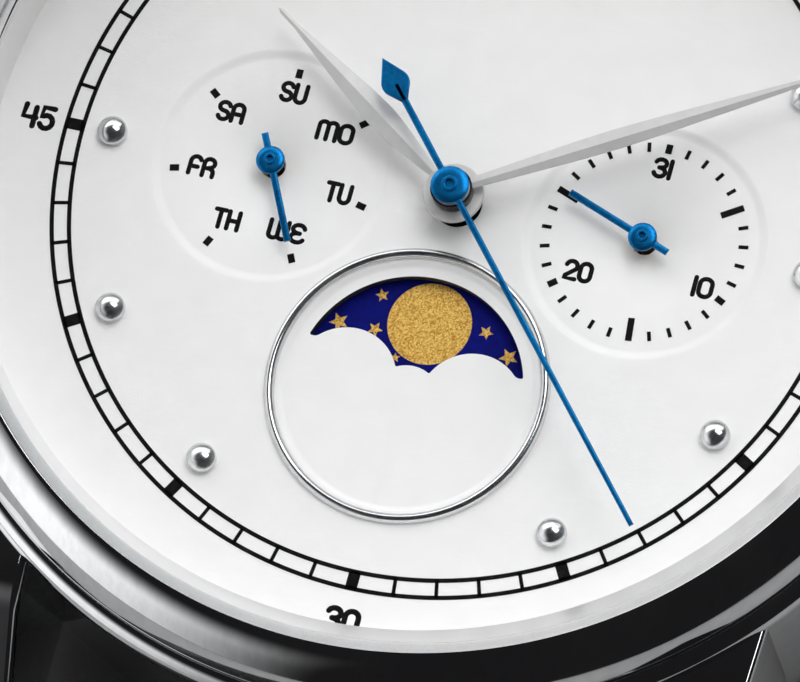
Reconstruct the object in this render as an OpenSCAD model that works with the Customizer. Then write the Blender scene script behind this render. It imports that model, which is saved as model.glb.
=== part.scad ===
/* [Case] */
// Diameter of the crystal
crystal_d = 36.4; // [34:0.2:40]
// Thickness of the crystal
crystal_t = 1.55; // [1.2:0.05:2.2]
// Width of the chamfer round the crystal's top edge
crystal_chamfer = 0.4; // [0.1:0.05:0.6]
// Radial thickness of the gasket between crystal and bezel
gasket_t = 0.42; // [0.2:0.02:0.8]
// Width of the bezel from its rim to its foot
bezel_w = 1.74; // [1.5:0.02:3]
// Radius of the bezel's rounded top
bezel_round = 2.15; // [1.9:0.05:4]
// Width of the ledge outside the bezel
ledge_w = 0.63; // [0.5:0.01:1.5]
// Radius that rounds the two outer corners of the case side
case_edge_r = 0.4; // [0.2:0.05:0.8]
// Height of the case back below the middle case
back_t = 0.8; // [0.6:0.05:1.2]
// Wall of the case back's snap ring
snap_wall = 0.5; // [0.4:0.05:1]

/* [Lugs] */
// Distance between the lugs, which is the strap width
lug_gap = 23.5; // [20:0.5:24]
// Width of each lug where it leaves the case
lug_root_w = 3.85; // [3.5:0.05:4.6]
// Width of each lug at its tip
lug_tip_w = 2.45; // [2.4:0.05:3.2]
// Distance from the case side to the spring bar's axis
bar_reach = 2.3; // [2.2:0.1:4]
// Height of the spring bar's axis above the case back
bar_z = 3.0; // [2.6:0.1:4]
// Distance from the spring bar to the end of the lug
lug_end = 2.3; // [1.6:0.1:3]
// Height of the lug's underside above the case back
lug_floor = 0.7; // [0.5:0.1:1.2]
// Angle at which the top of the lug falls towards its tip
lug_fall = 43; // [40:1:46]
// Radius between the flat root of the lug and its slope
lug_round = 2.5; // [1.5:0.1:4]
// Metal of the lug above the spring bar's axis
lug_cover = 1.05; // [1:0.05:1.4]

/* [Dial] */
// Thickness of the dial
dial_t = 0.5; // [0.4:0.05:0.8]
// Height of the dial's underside above the case back
dial_z = 6.0; // [5.95:0.05:7]
// Height of the ring between dial and bezel
rehaut_h = 2.6; // [2.5:0.05:3.5]
// Radial thickness of that ring
rehaut_t = 0.7; // [0.5:0.05:1]
// Distance of the day and date subdials from the centre
side_offset = 7.24; // [7:0.02:7.6]
// Distance of the moon display from the centre
moon_offset = 7.33; // [7.2:0.02:7.6]
// Outer diameter of the sunk subdials
subdial_d = 9.03; // [8:0.05:9.6]
// Width of the sloping edge of a subdial
subdial_slope = 0.42; // [0.1:0.02:0.6]
// Depth of the sunk subdials
subdial_depth = 0.12; // [0.05:0.01:0.2]
// Radius of the circle on which the round hour markers stand
marker_circle_r = 13.55; // [13:0.05:14.4]
// Diameter of a round hour marker
marker_d = 1.12; // [0.8:0.02:1.4]
// Height of a round hour marker
marker_h = 0.5; // [0.3:0.02:0.6]
// Outer diameter of the polished ring round the moon display
moon_ring_d = 10.75; // [10.2:0.05:11]
// Width of that ring
moon_ring_w = 0.38; // [0.2:0.02:0.5]
// Height of that ring above the dial
moon_ring_h = 0.28; // [0.15:0.01:0.4]
// Radius of the upper arc of the moon opening
moon_arc_r = 4.33; // [4.2:0.01:4.4]
// Height of the blunt tips of the moon opening above the display's centre
moon_tip_y = 1.2; // [1.1:0.05:1.4]
// Radius of the two humps that hide the moon
moon_hump_r = 1.96; // [1.8:0.01:2.1]
// Distance of each hump's centre from the middle line
moon_hump_x = 2.44; // [2.3:0.01:2.6]
// Distance of the hump centres below the display's centre
moon_hump_drop = 0.15; // [0:0.01:0.3]
// Radius of the small hump between the other two
moon_mid_r = 1.36; // [1.2:0.01:1.6]
// Distance of the small hump's centre below the display's centre
moon_mid_drop = 0.53; // [0.4:0.01:0.7]

/* [Hands] */
// Length of the hour hand from its axis
hour_len = 10.25; // [8:0.05:12]
// Length of the minute hand from its axis
minute_len = 14.6; // [12:0.05:16]
// Length of the seconds hand from its axis
second_len = 15.1; // [12:0.05:16]
// Length of the seconds hand's counterweight end
second_tail = 5.75; // [4:0.05:7]
// Widest part of the hour and minute hands
leaf_w = 1.2; // [0.8:0.02:1.6]
// Thickness of the hands at the ridge
hand_t = 0.22; // [0.12:0.01:0.25]
// Width of the thin bars of the blued hands
blued_bar_w = 0.23; // [0.15:0.01:0.4]
// Length of the day and date hands from their axes
small_len = 3.3; // [2.5:0.05:3.7]
// Length of the tails of the day and date hands
small_tail = 1.12; // [0.8:0.02:1.6]
// Height of the hour hand above the dial
hour_h = 1.0; // [0.95:0.05:1.1]
// Height of the minute hand above the dial
minute_h = 1.55; // [1.4:0.05:1.65]
// Height of the seconds hand above the dial
second_h = 2.0; // [1.95:0.05:2.1]
// Hour hand's angle clockwise from twelve
hour_at = 304.8; // [0:0.1:360]
// Minute hand's angle clockwise from twelve
minute_at = 60; // [0:0.1:360]
// Seconds hand's angle clockwise from twelve
second_at = 138.7; // [0:0.1:360]
// Day hand's angle clockwise from twelve
day_at = 153.5; // [0:0.1:360]
// Date hand's angle clockwise from twelve
date_at = 290.3; // [0:0.1:360]

/* [Movement] */
// Diameter of the movement's main plate
movement_d = 28; // [27.8:0.1:29]
// Height of the main plate's underside above the case back
plate_z = 3.5; // [3.5:0.05:3.6]
// Thickness of the main plate
plate_t = 1.2; // [1.1:0.05:1.25]
// Thickness of the train bridge
bridge_t = 0.6; // [0.5:0.05:0.65]
// Thickness of a train wheel
wheel_t = 0.2; // [0.12:0.01:0.22]
// Module of the gear teeth from the seconds wheel to the third wheel
third_module = 0.12; // [0.11:0.005:0.12]
// Module of the gear teeth from the rotor to the middle wheel
rotor_module = 0.12; // [0.11:0.005:0.125]
// Module of the gear teeth of the middle wheel's pinion
middle_module = 0.16; // [0.15:0.005:0.165]
// Module of the gear teeth under the dial
motion_module = 0.11; // [0.1:0.005:0.112]
// Module of the gear teeth of the calendar wheels
calendar_module = 0.12; // [0.11:0.005:0.122]
// Diameter of the button cell
cell_d = 9.5; // [7.9:0.1:9.6]
// Height of the button cell
cell_h = 2.05; // [1.6:0.05:2.05]

/* [Crown] */
// Height of the crown's axis above the case back
stem_z = 4.05; // [4:0.05:4.1]
// Diameter of the winding stem
stem_d = 0.8; // [0.7:0.05:0.9]
// Diameter of the crown
crown_d = 6.4; // [5:0.1:6.8]
// Length of the crown
crown_l = 3.3; // [2.8:0.1:4.5]
// Number of flutes round the crown
crown_flutes = 30; // [18:1:40]
// Outer diameter of the tube that the crown runs on
tube_d = 2.6; // [2.2:0.1:3]

/* [Strap] */
// Play between the strap and each lug
strap_play = 0.2; // [0.1:0.05:0.5]
// Width of the strap at the buckle
strap_end_w = 18; // [16:1:18]
// Distance over which the strap narrows and thins
strap_taper_l = 38; // [30:1:42]
// Thickness of the strap round the spring bar
strap_root_t = 3.8; // [3.4:0.1:4]
// Thickness added by the padding near the lugs
strap_pad_t = 0.7; // [0:0.1:1.2]
// Thickness of the strap at its free end
strap_tip_t = 2.2; // [1.8:0.1:2.4]
// Thickness of the lining leather
lining_t = 0.9; // [0.6:0.1:1.1]
// Length of the half with the buckle, from spring bar to buckle bar
short_l = 75; // [70:1:90]
// Length of the half with the holes, from spring bar to tip
long_l = 115; // [105:1:130]
// Number of holes in the long half
hole_count = 7; // [5:1:8]
// Distance between the holes
hole_pitch = 6.3; // [5:0.1:7]
// Diameter of a hole
hole_d = 2.0; // [1.6:0.1:2.4]
// Distance from the tip to the first hole
hole_start = 28; // [24:1:36]
// Wall of the strap keepers
keeper_t = 1.0; // [0.8:0.1:1]
// Width of the strap keepers along the strap
keeper_w = 5; // [4:0.5:6]
// Distance from the buckle bar to the fixed keeper's middle
fixed_keeper_at = 10.3; // [9.5:0.1:12]
// Distance from the buckle bar to the free keeper's middle
free_keeper_at = 23.8; // [21:0.1:26]

/* [Buckle] */
// Width of the side arms of the buckle
buckle_arm_w = 2.0; // [1.8:0.1:3]
// Thickness of the buckle frame
buckle_t = 2.0; // [1.6:0.1:2.4]
// Distance from the buckle bar to the inner edge of the crossbar
buckle_window = 9.2; // [8:0.1:12]
// Width of the crossbar
buckle_cross_w = 2.2; // [1.6:0.1:3]
// Radius of the buckle's outer corners
buckle_corner_r = 3.0; // [2:0.1:4]
// Diameter of the buckle bar
buckle_bar_d = 1.5; // [1.2:0.1:1.6]
// Width of the tang
tang_w = 2.0; // [1.6:0.1:2.2]
// Thickness of the tang
tang_t = 0.85; // [0.6:0.05:1]

/* [Fits] */
// Radial play of pieces that nest in each other
nest_gap = 0.05; // [0.03:0.01:0.08]
// Radial play of pivots, pipes and hinge pins
run_gap = 0.05; // [0.03:0.01:0.06]
// Play between flat faces that pass each other
slide_gap = 0.1; // [0.05:0.01:0.12]
// Diameter of the spring bars
spring_bar_d = 1.8; // [1.5:0.1:1.8]
// Diameter of the spring bars' end pivots
spring_pivot_d = 0.9; // [0.7:0.05:1]
// Length of those pivots
spring_pivot_l = 0.9; // [0.6:0.05:1.2]

/* [Hidden] */
$fn = 64;
SMALL_FN = 32;
ROUND_FN = 128;
EPS = 0.01;

// Radii of the case, from the crystal outwards
crystal_r = crystal_d / 2;
seat_w = 0.14;
view_r = crystal_r - seat_w;
rim_r = crystal_r + gasket_t + EPS;
bezel_r = rim_r + bezel_w;
case_r = bezel_r + ledge_w;
bore_r = view_r + rehaut_t + nest_gap;
neck_inner_r = bore_r + 0.24;
neck_outer_r = neck_inner_r + 0.6;
dial_r = bore_r - nest_gap;

// Heights of the case, from the case back upwards
face_z = dial_z + dial_t;
ledge_z = face_z + rehaut_h;
seat_t = 0.3;
seat_z = ledge_z + seat_t;
crystal_top = seat_z + crystal_t;
neck_h = 0.65;

// Case back and the shoulder that it snaps into
back_flange_r = view_r + 0.24;
back_flange_t = 0.4;
back_bore_r = view_r - 0.86;
snap_r = back_bore_r - 0.38;
snap_h = 0.9;
flange_top = back_t + back_flange_t;
shoulder_z = 2.25;

// Movement
movement_r = movement_d / 2;
plate_top = plate_z + plate_t;
bridge_z = 1.4;
bridge_top = bridge_z + bridge_t;
holder_lip_t = 0.5;
holder_lip_w = 0.5;
calendar_cover_t = 0.12;
calendar_cover_z = plate_top + 0.84;
disc_z = calendar_cover_z + calendar_cover_t + 0.06;
disc_t = 0.2;
disc_r = moon_arc_r + 0.24;
pivot_r = 0.12;
arbor_r = 0.22;
second_arbor_r = 0.15;
cannon_r = 0.45;
hour_pipe_r = 0.72;
side_arbor_r = 0.3;
post_r = 0.17;

// Teeth of the wheels
rotor_teeth = 6;
middle_teeth = 36;
middle_pinion_teeth = 6;
second_teeth = 30;
second_pinion_teeth = 8;
third_teeth = 60;
third_pinion_teeth = 8;
center_teeth = 64;
cannon_teeth = 12;
minute_teeth = 36;
minute_pinion_teeth = 10;
hour_teeth = 40;
hour_pinion_teeth = 24;
day_drive_teeth = 48;
day_star_teeth = 7;
date_star_teeth = 31;
moon_star_teeth = 59;
star_r = 2.55;
star_tooth_h = 0.32;
finger_r = 2.58;

// Distances between meshing wheels
third_gap = third_module * (second_pinion_teeth + third_teeth) / 2;
center_module = 2 * third_gap / (third_pinion_teeth + center_teeth);
rotor_gap = rotor_module * (rotor_teeth + middle_teeth) / 2;
middle_gap = middle_module * (middle_pinion_teeth + second_teeth) / 2;
minute_gap = motion_module * (cannon_teeth + minute_teeth) / 2;
hour_module = 2 * minute_gap / (minute_pinion_teeth + hour_teeth);
drive_gap = calendar_module * (hour_pinion_teeth + day_drive_teeth) / 2;

// Directions of the wheels' axes, counter-clockwise from three o'clock
third_dir = 90;
middle_dir = -60;
rotor_dir = -35;
minute_dir = 225;
date_drive_dir = 45;
day_drive_dir = 135;
moon_drive_dir = -45;

// Axes of the wheels
function polar(r, a) = [r * cos(a), r * sin(a)];
third_at = polar(third_gap, third_dir);
middle_at = polar(middle_gap, middle_dir);
rotor_at = middle_at + polar(rotor_gap, rotor_dir);
minute_at_xy = polar(minute_gap, minute_dir);
date_drive_at = polar(drive_gap, date_drive_dir);
day_drive_at = polar(drive_gap, day_drive_dir);
moon_drive_at = polar(drive_gap, moon_drive_dir);
day_xy = [-side_offset, 0];
date_xy = [side_offset, 0];
moon_xy = [0, -moon_offset];

// Heights of the wheels between bridge and main plate
second_wheel_z = bridge_top + 0.2;
second_pinion_z = second_wheel_z + 0.35;
third_wheel_z = second_pinion_z + 0.1;
third_pinion_z = third_wheel_z + wheel_t;
center_wheel_z = plate_z - 0.3;
middle_pinion_z = second_wheel_z - 0.1;
middle_wheel_z = middle_pinion_z + 0.75;
rotor_pinion_z = middle_wheel_z - 0.05;
magnet_z = bridge_top + 0.15;
magnet_t = 0.55;
magnet_r = 1.3;

// Heights of the wheels under the dial
minute_wheel_z = plate_top + 0.08;
under_t = 0.18;
hour_wheel_z = plate_top + 0.36;
drive_wheel_z = plate_top + 0.6;
star_z = plate_top + 0.08;

// Battery, coil, board and screws
cell_at = polar(8.68, 219);
cell_z = bridge_z;
stator_z = bridge_top + 0.3;
stator_t = 0.3;
core_t = 0.3;
core_z = stator_z + stator_t;
coil_r = 0.72;
coil_margin = 1.7;
coil_end_a = [10.2, -4.7];
coil_end_b = [4.6, -10.3];
board_z = bridge_top + 0.4;
board_t = 0.25;
board_inner_r = 8.3;
board_outer_r = 13.2;
board_start = 20;
board_end = 165;
clamp_t = 0.18;
screw_head_r = 0.55;
screw_head_h = 0.25;
screw_slot_w = 0.14;
screw_slot_d = 0.1;
screw_r = 0.3;
screw_tip_z = plate_z + 0.6;
pillar_r = 0.8;
bridge_screws = [[-5.2, 3.6], [5.2, 3.6], [0.3, -6.9]];
board_screw_r = 12.2;
board_screws = [polar(board_screw_r, 30), polar(board_screw_r, 155)];
coil_screws = [coil_end_a, coil_end_b];

// Dial feet
foot_r = 0.4;
foot_circle_r = 12.6;
foot_dirs = [100, 260];
foot_end_z = plate_z + 0.5;
cover_circle_r = 12.2;
cover_posts = [50, 130, 230, 310];

// Hands
hour_z = face_z + hour_h;
minute_z = face_z + minute_h;
second_z = face_z + second_h;
small_z = face_z + 0.5;
hour_hub_r = 1.14;
minute_hub_r = 0.78;
second_hub_r = 0.72;
small_hub_r = 0.54;
leaf_steps = 14;
spade_r = 0.54;
spade_point = 1.13;

// Crown and stem
travel = 1.0;
tube_r = tube_d / 2;
tube_bore_r = 0.85;
tube_out = 2.2;
tube_in_x = bore_r + 0.1;
tube_out_x = case_r + tube_out;
crown_x = case_r + 0.3;
crown_cavity_l = tube_out - 0.3 + 0.35;
crown_cavity_r = tube_r + 0.2;
crown_post_r = tube_bore_r - run_gap;
flute_r = 0.28;
pinion_x = 10.2;
pinion_l = 1.3;
pinion_r = 0.62;
stem_in_x = 5.2;
groove_x = 11.75;
groove_l = 0.5;
groove_r = 0.22;
slot_w = 1.0;
pinion_slot_w = 1.5;
lever_pivot = [groove_x + groove_l / 2, 2.2];

// Strap, measured along Y from the spring bar
bar_y = case_r + bar_reach;
lug_tip_y = bar_y + lug_end;
strap_w = lug_gap - 2 * strap_play;
wrap_r = strap_root_t / 2;
bar_bore_r = spring_bar_d / 2 + run_gap;
strap_steps = 20;
tip_steps = 12;
long_rest_z = 0;
short_rest_z = keeper_t + slide_gap;
lining_start = wrap_r + 0.5;
loop_gap = 0.3;

// Buckle
buckle_y = bar_y + short_l;
buckle_z = short_rest_z + strap_tip_t / 2 + 0.2;
buckle_bar_r = buckle_bar_d / 2;
buckle_wrap_r = buckle_bar_r + 0.9;
buckle_pivot_r = 0.45;
buckle_pivot_l = 1.2;
arm_in_x = strap_end_w / 2 + loop_gap;
arm_out_x = arm_in_x + buckle_arm_w;
tang_loop_r = buckle_bar_r + 0.65;
tang_slot_w = tang_w + 1.0;
tang_slot_l = 3.2;
cross_y = buckle_y + buckle_window;
cross_top = buckle_z + buckle_t / 2;

// Centre of a circle of radius r through p and q, on the inner side
function arc_center(p, q, r) =
    let (d = q - p, l = norm(d), m = (p + q) / 2, k = sqrt(r * r - l * l / 4))
    m + [d[1], -d[0]] / l * k;

// Unit step from 0 to 1 with level ends
function ease(t) = let (s = min(max(t, 0), 1)) s * s * (3 - 2 * s);

// Counter-clockwise angle of a clock angle
function clock(a) = 90 - a;

// Outline of a spur gear with slim straight-sided teeth
function gear_outline(teeth, module_mm) = [
    for (i = [0 : teeth - 1])
        for (p = [[-0.22, -1.2], [-0.1, 1], [0.1, 1], [0.22, -1.2]])
            polar(module_mm * (teeth / 2 + p[1]), 360 / teeth * (i + p[0]))
];

// Outline of a wheel with pointed teeth, for a detent spring
function star_outline(teeth, tip_r, depth) = [
    for (i = [0 : teeth - 1])
        for (p = [[0, 0], [0.5, 1]])
            polar(tip_r - p[1] * depth, 360 / teeth * (i + p[0]))
];

// Angle that puts a tooth of a wheel towards the wheel that it drives
function tooth_towards(from, to) = atan2(to[1] - from[1], to[0] - from[0]);

// Angle that puts a gap of a driven wheel towards its driver
function gap_towards(from, to, teeth) = tooth_towards(from, to) + 180 / teeth;

module at(xy, z = 0, a = 0) {
    translate([xy[0], xy[1], z]) rotate([0, 0, a]) children();
}

module ring(outer, inner, h) {
    difference() {
        cylinder(r = outer, h = h);
        translate([0, 0, -1]) cylinder(r = inner, h = h + 2);
    }
}

module spur(teeth, module_mm, h, bore) {
    difference() {
        linear_extrude(h) polygon(gear_outline(teeth, module_mm));
        translate([0, 0, -1]) cylinder(r = bore, h = h + 2, $fn = SMALL_FN);
    }
}

// Spur wheel with a rim, a hub and spokes
module spoked(teeth, module_mm, h, bore, spokes) {
    rim_inner_r = module_mm * (teeth / 2 - 1.2) - 0.3;
    hub_r = bore + 0.35;
    spoke_w = 0.34;
    difference() {
        linear_extrude(h) difference() {
            polygon(gear_outline(teeth, module_mm));
            difference() {
                circle(r = rim_inner_r);
                circle(r = hub_r);
                for (i = [0 : spokes - 1]) rotate(360 / spokes * i)
                    translate([0, -spoke_w / 2]) square([rim_inner_r + 0.1, spoke_w]);
            }
        }
        translate([0, 0, -1]) cylinder(r = bore, h = h + 2, $fn = SMALL_FN);
    }
}

// Outline of the case's middle band, from its bore to its rounded outer corners
module case_section() {
    edge_x = case_r - case_edge_r;
    difference() {
        union() {
            translate([bore_r, back_t]) square([edge_x - bore_r, ledge_z - back_t]);
            for (z = [back_t + case_edge_r, ledge_z - case_edge_r])
                translate([edge_x, z]) circle(r = case_edge_r, $fn = SMALL_FN);
            translate([bore_r, back_t + case_edge_r])
                square([case_r - bore_r, ledge_z - back_t - 2 * case_edge_r]);
            translate([back_bore_r, flange_top])
                square([bore_r - back_bore_r + EPS, shoulder_z - flange_top]);
            translate([neck_inner_r, ledge_z - EPS])
                square([neck_outer_r - neck_inner_r, neck_h + EPS]);
        }
        translate([0, back_t - 1]) square([back_flange_r + nest_gap, 1 + back_flange_t]);
    }
}

// Side outline of a lug, from its root inside the case to its tip
module lug_side(root_y, top_z) {
    bend_y = bar_y - (top_z - bar_z - lug_cover) / tan(lug_fall);
    run = lug_round * tan(lug_fall / 2);
    tip_top = bar_z + lug_cover - lug_end * tan(lug_fall);
    tip_r = 0.9;
    intersection() {
        union() {
            polygon([
                [root_y, lug_floor], [lug_tip_y, lug_floor], [lug_tip_y, tip_top],
                [bend_y + run * cos(lug_fall), top_z - run * sin(lug_fall)],
                [bend_y - run, top_z], [root_y, top_z]]);
            translate([bend_y - run, top_z - lug_round]) circle(r = lug_round, $fn = ROUND_FN);
        }
        union() {
            translate([lug_tip_y - tip_r, lug_floor + tip_r]) circle(r = tip_r);
            square([lug_tip_y - tip_r, top_z]);
            translate([0, lug_floor + tip_r]) square([lug_tip_y, top_z]);
        }
    }
}

// One lug in the quarter x > 0, y > 0
module lug() {
    root_y = 12;
    side_r = 60;
    root_x = lug_gap / 2 + lug_root_w;
    tip_x = lug_gap / 2 + lug_tip_w;
    top_z = ledge_z - case_edge_r - 0.1;
    side_mid = arc_center([tip_x, lug_tip_y + 0.4], [root_x + 0.2, root_y], side_r);
    difference() {
        intersection() {
            rotate([90, 0, 90]) linear_extrude(root_x + 1) lug_side(root_y, top_z);
            linear_extrude(ledge_z) intersection() {
                translate([lug_gap / 2, root_y]) square([lug_root_w + 1, lug_tip_y - root_y]);
                translate(side_mid) circle(r = side_r, $fn = ROUND_FN);
            }
        }
        translate([0, 0, -1]) cylinder(r = bore_r + 0.5, h = ledge_z + 2);
    }
}

module mid_case() {
    color("silver") difference() {
        union() {
            rotate_extrude($fn = ROUND_FN) case_section();
            for (sx = [0, 1], sy = [0, 1]) mirror([sx, 0, 0]) mirror([0, sy, 0]) lug();
        }
        for (sx = [0, 1], sy = [-1, 1]) mirror([sx, 0, 0])
            translate([lug_gap / 2 - 1, sy * bar_y, bar_z]) rotate([0, 90, 0])
                cylinder(r = spring_pivot_d / 2 + run_gap, h = 1 + spring_pivot_l + 0.3, $fn = SMALL_FN);
        translate([back_bore_r, 0, stem_z]) rotate([0, 90, 0]) cylinder(r = tube_r, h = 10);
    }
}

module case_back() {
    color("lightgray") rotate_extrude($fn = ROUND_FN) difference() {
        polygon([
            [0, 0], [back_flange_r - 1.1, 0], [back_flange_r - 0.3, 0.45], [back_flange_r, back_t],
            [back_flange_r, flange_top], [snap_r, flange_top], [snap_r, flange_top + snap_h - 0.25],
            [snap_r + 0.2, flange_top + snap_h - 0.12], [snap_r, flange_top + snap_h],
            [snap_r - snap_wall, flange_top + snap_h], [snap_r - snap_wall, back_t], [0, back_t]
        ]);
        translate([back_flange_r - 3.2, -0.85]) circle(r = 1);
    }
}

module case_back_gasket() {
    color("black") translate([0, 0, flange_top])
        ring(back_bore_r, snap_r, 0.45);
}

module bezel() {
    top = crystal_top;
    mid = arc_center([rim_r + 0.12, top], [bezel_r, ledge_z + 0.37], bezel_round);
    color("silver") rotate_extrude($fn = ROUND_FN) difference() {
        union() {
            intersection() {
                translate([rim_r, ledge_z]) square([bezel_w, top - ledge_z]);
                translate(mid) circle(r = bezel_round, $fn = ROUND_FN);
            }
            translate([view_r, ledge_z]) square([rim_r - view_r + EPS, seat_t]);
        }
        translate([neck_inner_r - nest_gap, ledge_z - 1])
            square([neck_outer_r - neck_inner_r + 2 * nest_gap, 1 + neck_h + nest_gap]);
    }
}

module crystal() {
    color("lightcyan", 0.3) translate([0, 0, seat_z]) {
        cylinder(r = crystal_r, h = crystal_t - crystal_chamfer * 0.6, $fn = ROUND_FN);
        translate([0, 0, crystal_t - crystal_chamfer * 0.6])
            cylinder(r1 = crystal_r, r2 = crystal_r - crystal_chamfer, h = crystal_chamfer * 0.6, $fn = ROUND_FN);
    }
}

module crystal_gasket() {
    color("gainsboro") translate([0, 0, seat_z]) ring(rim_r, crystal_r, crystal_t - 0.2, $fn = ROUND_FN);
}

module rehaut() {
    color("whitesmoke") translate([0, 0, face_z]) ring(dial_r, view_r, rehaut_h, $fn = ROUND_FN);
}

// Opening of the moon display
module moon_window() {
    difference() {
        circle(r = moon_arc_r, $fn = ROUND_FN);
        for (s = [-1, 1]) translate([s * moon_hump_x, -moon_hump_drop]) circle(r = moon_hump_r);
        translate([0, -moon_mid_drop]) circle(r = moon_mid_r);
        translate([-moon_arc_r - 1, -2 * moon_arc_r]) square([2 * moon_arc_r + 2, 2 * moon_arc_r + moon_tip_y]);
    }
}

module sunk_subdial(xy, d, slope) {
    at(xy, face_z - subdial_depth)
        cylinder(r1 = d / 2 - slope, r2 = d / 2 + slope / subdial_depth * EPS, h = subdial_depth + EPS);
}

module dial() {
    color("white") difference() {
        union() {
            at([0, 0], dial_z) cylinder(r = dial_r, h = dial_t, $fn = ROUND_FN);
            for (a = foot_dirs) at(polar(foot_circle_r, a), foot_end_z)
                cylinder(r = foot_r, h = dial_z - foot_end_z + EPS, $fn = SMALL_FN);
        }
        at([0, 0], dial_z - 1) cylinder(r = hour_pipe_r + 0.2, h = dial_t + 2, $fn = SMALL_FN);
        for (c = [day_xy, date_xy]) {
            sunk_subdial(c, subdial_d, subdial_slope);
            at(c, dial_z - 1) cylinder(r = side_arbor_r + 0.15, h = dial_t + 2, $fn = SMALL_FN);
        }
        sunk_subdial(moon_xy, moon_ring_d - 2 * moon_ring_w - 0.1, 0.3);
        at(moon_xy, dial_z - 1) linear_extrude(dial_t + 2) moon_window();
        for (h = [0 : 11]) if (h != 6)
            at(polar(marker_circle_r, clock(30 * h)), face_z - 0.3)
                cylinder(r = marker_d * 0.25, h = 1, $fn = SMALL_FN);
    }
}

module hour_markers() {
    dome_r = (marker_d * marker_d / 4 + marker_h * marker_h) / (2 * marker_h);
    color("silver") for (h = [0 : 11]) if (h != 6)
        at(polar(marker_circle_r, clock(30 * h)), face_z) {
            intersection() {
                translate([0, 0, marker_h - dome_r]) sphere(r = dome_r, $fn = 48);
                cylinder(r = marker_d, h = marker_d * 2);
            }
            translate([0, 0, -0.3]) cylinder(r = marker_d * 0.25, h = 0.3 + EPS, $fn = SMALL_FN);
        }
}

module moon_ring() {
    outer = moon_ring_d / 2;
    color("silver") at(moon_xy, face_z) rotate_extrude($fn = ROUND_FN) intersection() {
        translate([outer - moon_ring_w, 0]) square([moon_ring_w, moon_ring_h]);
        translate([outer - moon_ring_w / 2, moon_ring_h - moon_ring_w * 0.62])
            circle(r = moon_ring_w * 0.62, $fn = SMALL_FN);
    }
}

module movement_holder() {
    color("dimgray") difference() {
        union() {
            translate([0, 0, shoulder_z]) ring(dial_r, movement_r + nest_gap, dial_z - shoulder_z);
            translate([0, 0, plate_z - holder_lip_t])
                ring(movement_r + 1, movement_r - holder_lip_w, holder_lip_t);
        }
        translate([movement_r - 2, -1.1, stem_z - 1.1]) cube([10, 2.2, 2.2]);
        for (a = [45, 135, 225, 315]) rotate([0, 0, a])
            translate([(movement_r + dial_r) / 2, 0, shoulder_z - EPS]) cylinder(r = 1.4, h = 2.4);
    }
}

module crown_tube() {
    color("silver") translate([tube_in_x, 0, stem_z]) rotate([0, 90, 0])
        ring(tube_r, tube_bore_r, tube_out_x - tube_in_x, $fn = 48);
}

module spring_bars() {
    half = lug_gap / 2;
    color("gray") for (s = [-1, 1]) translate([0, s * bar_y, bar_z]) rotate([0, 90, 0]) {
        translate([0, 0, -half + 0.15]) cylinder(r = spring_bar_d / 2, h = 2 * half - 0.3);
        translate([0, 0, -half - spring_pivot_l])
            cylinder(r = spring_pivot_d / 2, h = 2 * (half + spring_pivot_l), $fn = SMALL_FN);
    }
}

// Screw with a slotted head, driven up into the main plate
module movement_screw(xy, clamp_z) {
    at(xy, 0) difference() {
        union() {
            translate([0, 0, clamp_z - screw_head_h]) cylinder(r = screw_head_r, h = screw_head_h, $fn = SMALL_FN);
            translate([0, 0, clamp_z - EPS]) cylinder(r = screw_r, h = screw_tip_z - clamp_z, $fn = SMALL_FN);
        }
        translate([-1, -screw_slot_w / 2, clamp_z - screw_head_h - 1]) cube([2, screw_slot_w, 1 + screw_slot_d]);
    }
}

module movement_screws() {
    color("lightgray") {
        for (i = [0 : 2]) movement_screw(bridge_screws[i], i == 2 ? bridge_z - clamp_t : bridge_z);
        for (p = board_screws) movement_screw(p, board_z);
        for (p = coil_screws) movement_screw(p, stator_z);
    }
}

module screw_hole(xy) {
    at(xy, 0) cylinder(r = screw_r, h = screw_tip_z, $fn = SMALL_FN);
}

module pivot_hole(xy, z0, z1) {
    at(xy, z0) cylinder(r = pivot_r + run_gap / 2, h = z1 - z0, $fn = SMALL_FN);
}

module main_plate() {
    color("gold") difference() {
        union() {
            at([0, 0], plate_z) cylinder(r = movement_r, h = plate_t, $fn = ROUND_FN);
            for (p = bridge_screws) at(p, bridge_top) cylinder(r = pillar_r, h = plate_z - bridge_top + EPS);
            for (p = board_screws)
                at(p, board_z + board_t) cylinder(r = pillar_r, h = plate_z - board_z - board_t + EPS);
            for (p = coil_screws)
                at(p, core_z + core_t) cylinder(r = pillar_r, h = plate_z - core_z - core_t + EPS);
            for (a = cover_posts) at(polar(cover_circle_r, a), plate_top - EPS)
                cylinder(r = 0.6, h = calendar_cover_z - plate_top + EPS, $fn = SMALL_FN);
            for (p = [day_xy, date_xy, moon_xy, minute_at_xy, day_drive_at, date_drive_at, moon_drive_at])
                at(p, plate_top - EPS) cylinder(r = post_r, h = 0.66, $fn = SMALL_FN);
        }
        at([0, 0], 0) cylinder(r = cannon_r + run_gap, h = 10, $fn = SMALL_FN);
        for (p = concat(bridge_screws, board_screws, coil_screws)) screw_hole(p);
        for (p = [third_at, middle_at, rotor_at]) pivot_hole(p, plate_z - 1, plate_z + 0.5);
        for (a = foot_dirs) at(polar(foot_circle_r, a), 0)
            cylinder(r = foot_r + nest_gap, h = 10, $fn = SMALL_FN);
        translate([stem_in_x - 0.4, -slot_w / 2, plate_z - 1])
            cube([movement_r, slot_w, stem_z + stem_d / 2 + nest_gap - plate_z + 1]);
        translate([pinion_x - 0.3, -pinion_slot_w / 2, plate_z - 1])
            cube([movement_r - pinion_x, pinion_slot_w, plate_t + 2]);
        translate([groove_x - 0.7, -slot_w / 2, plate_z - 1])
            cube([1.4 + groove_l + travel - 0.4, lever_pivot[1] + 0.6 + slot_w / 2, 1.35]);
    }
}

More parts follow.
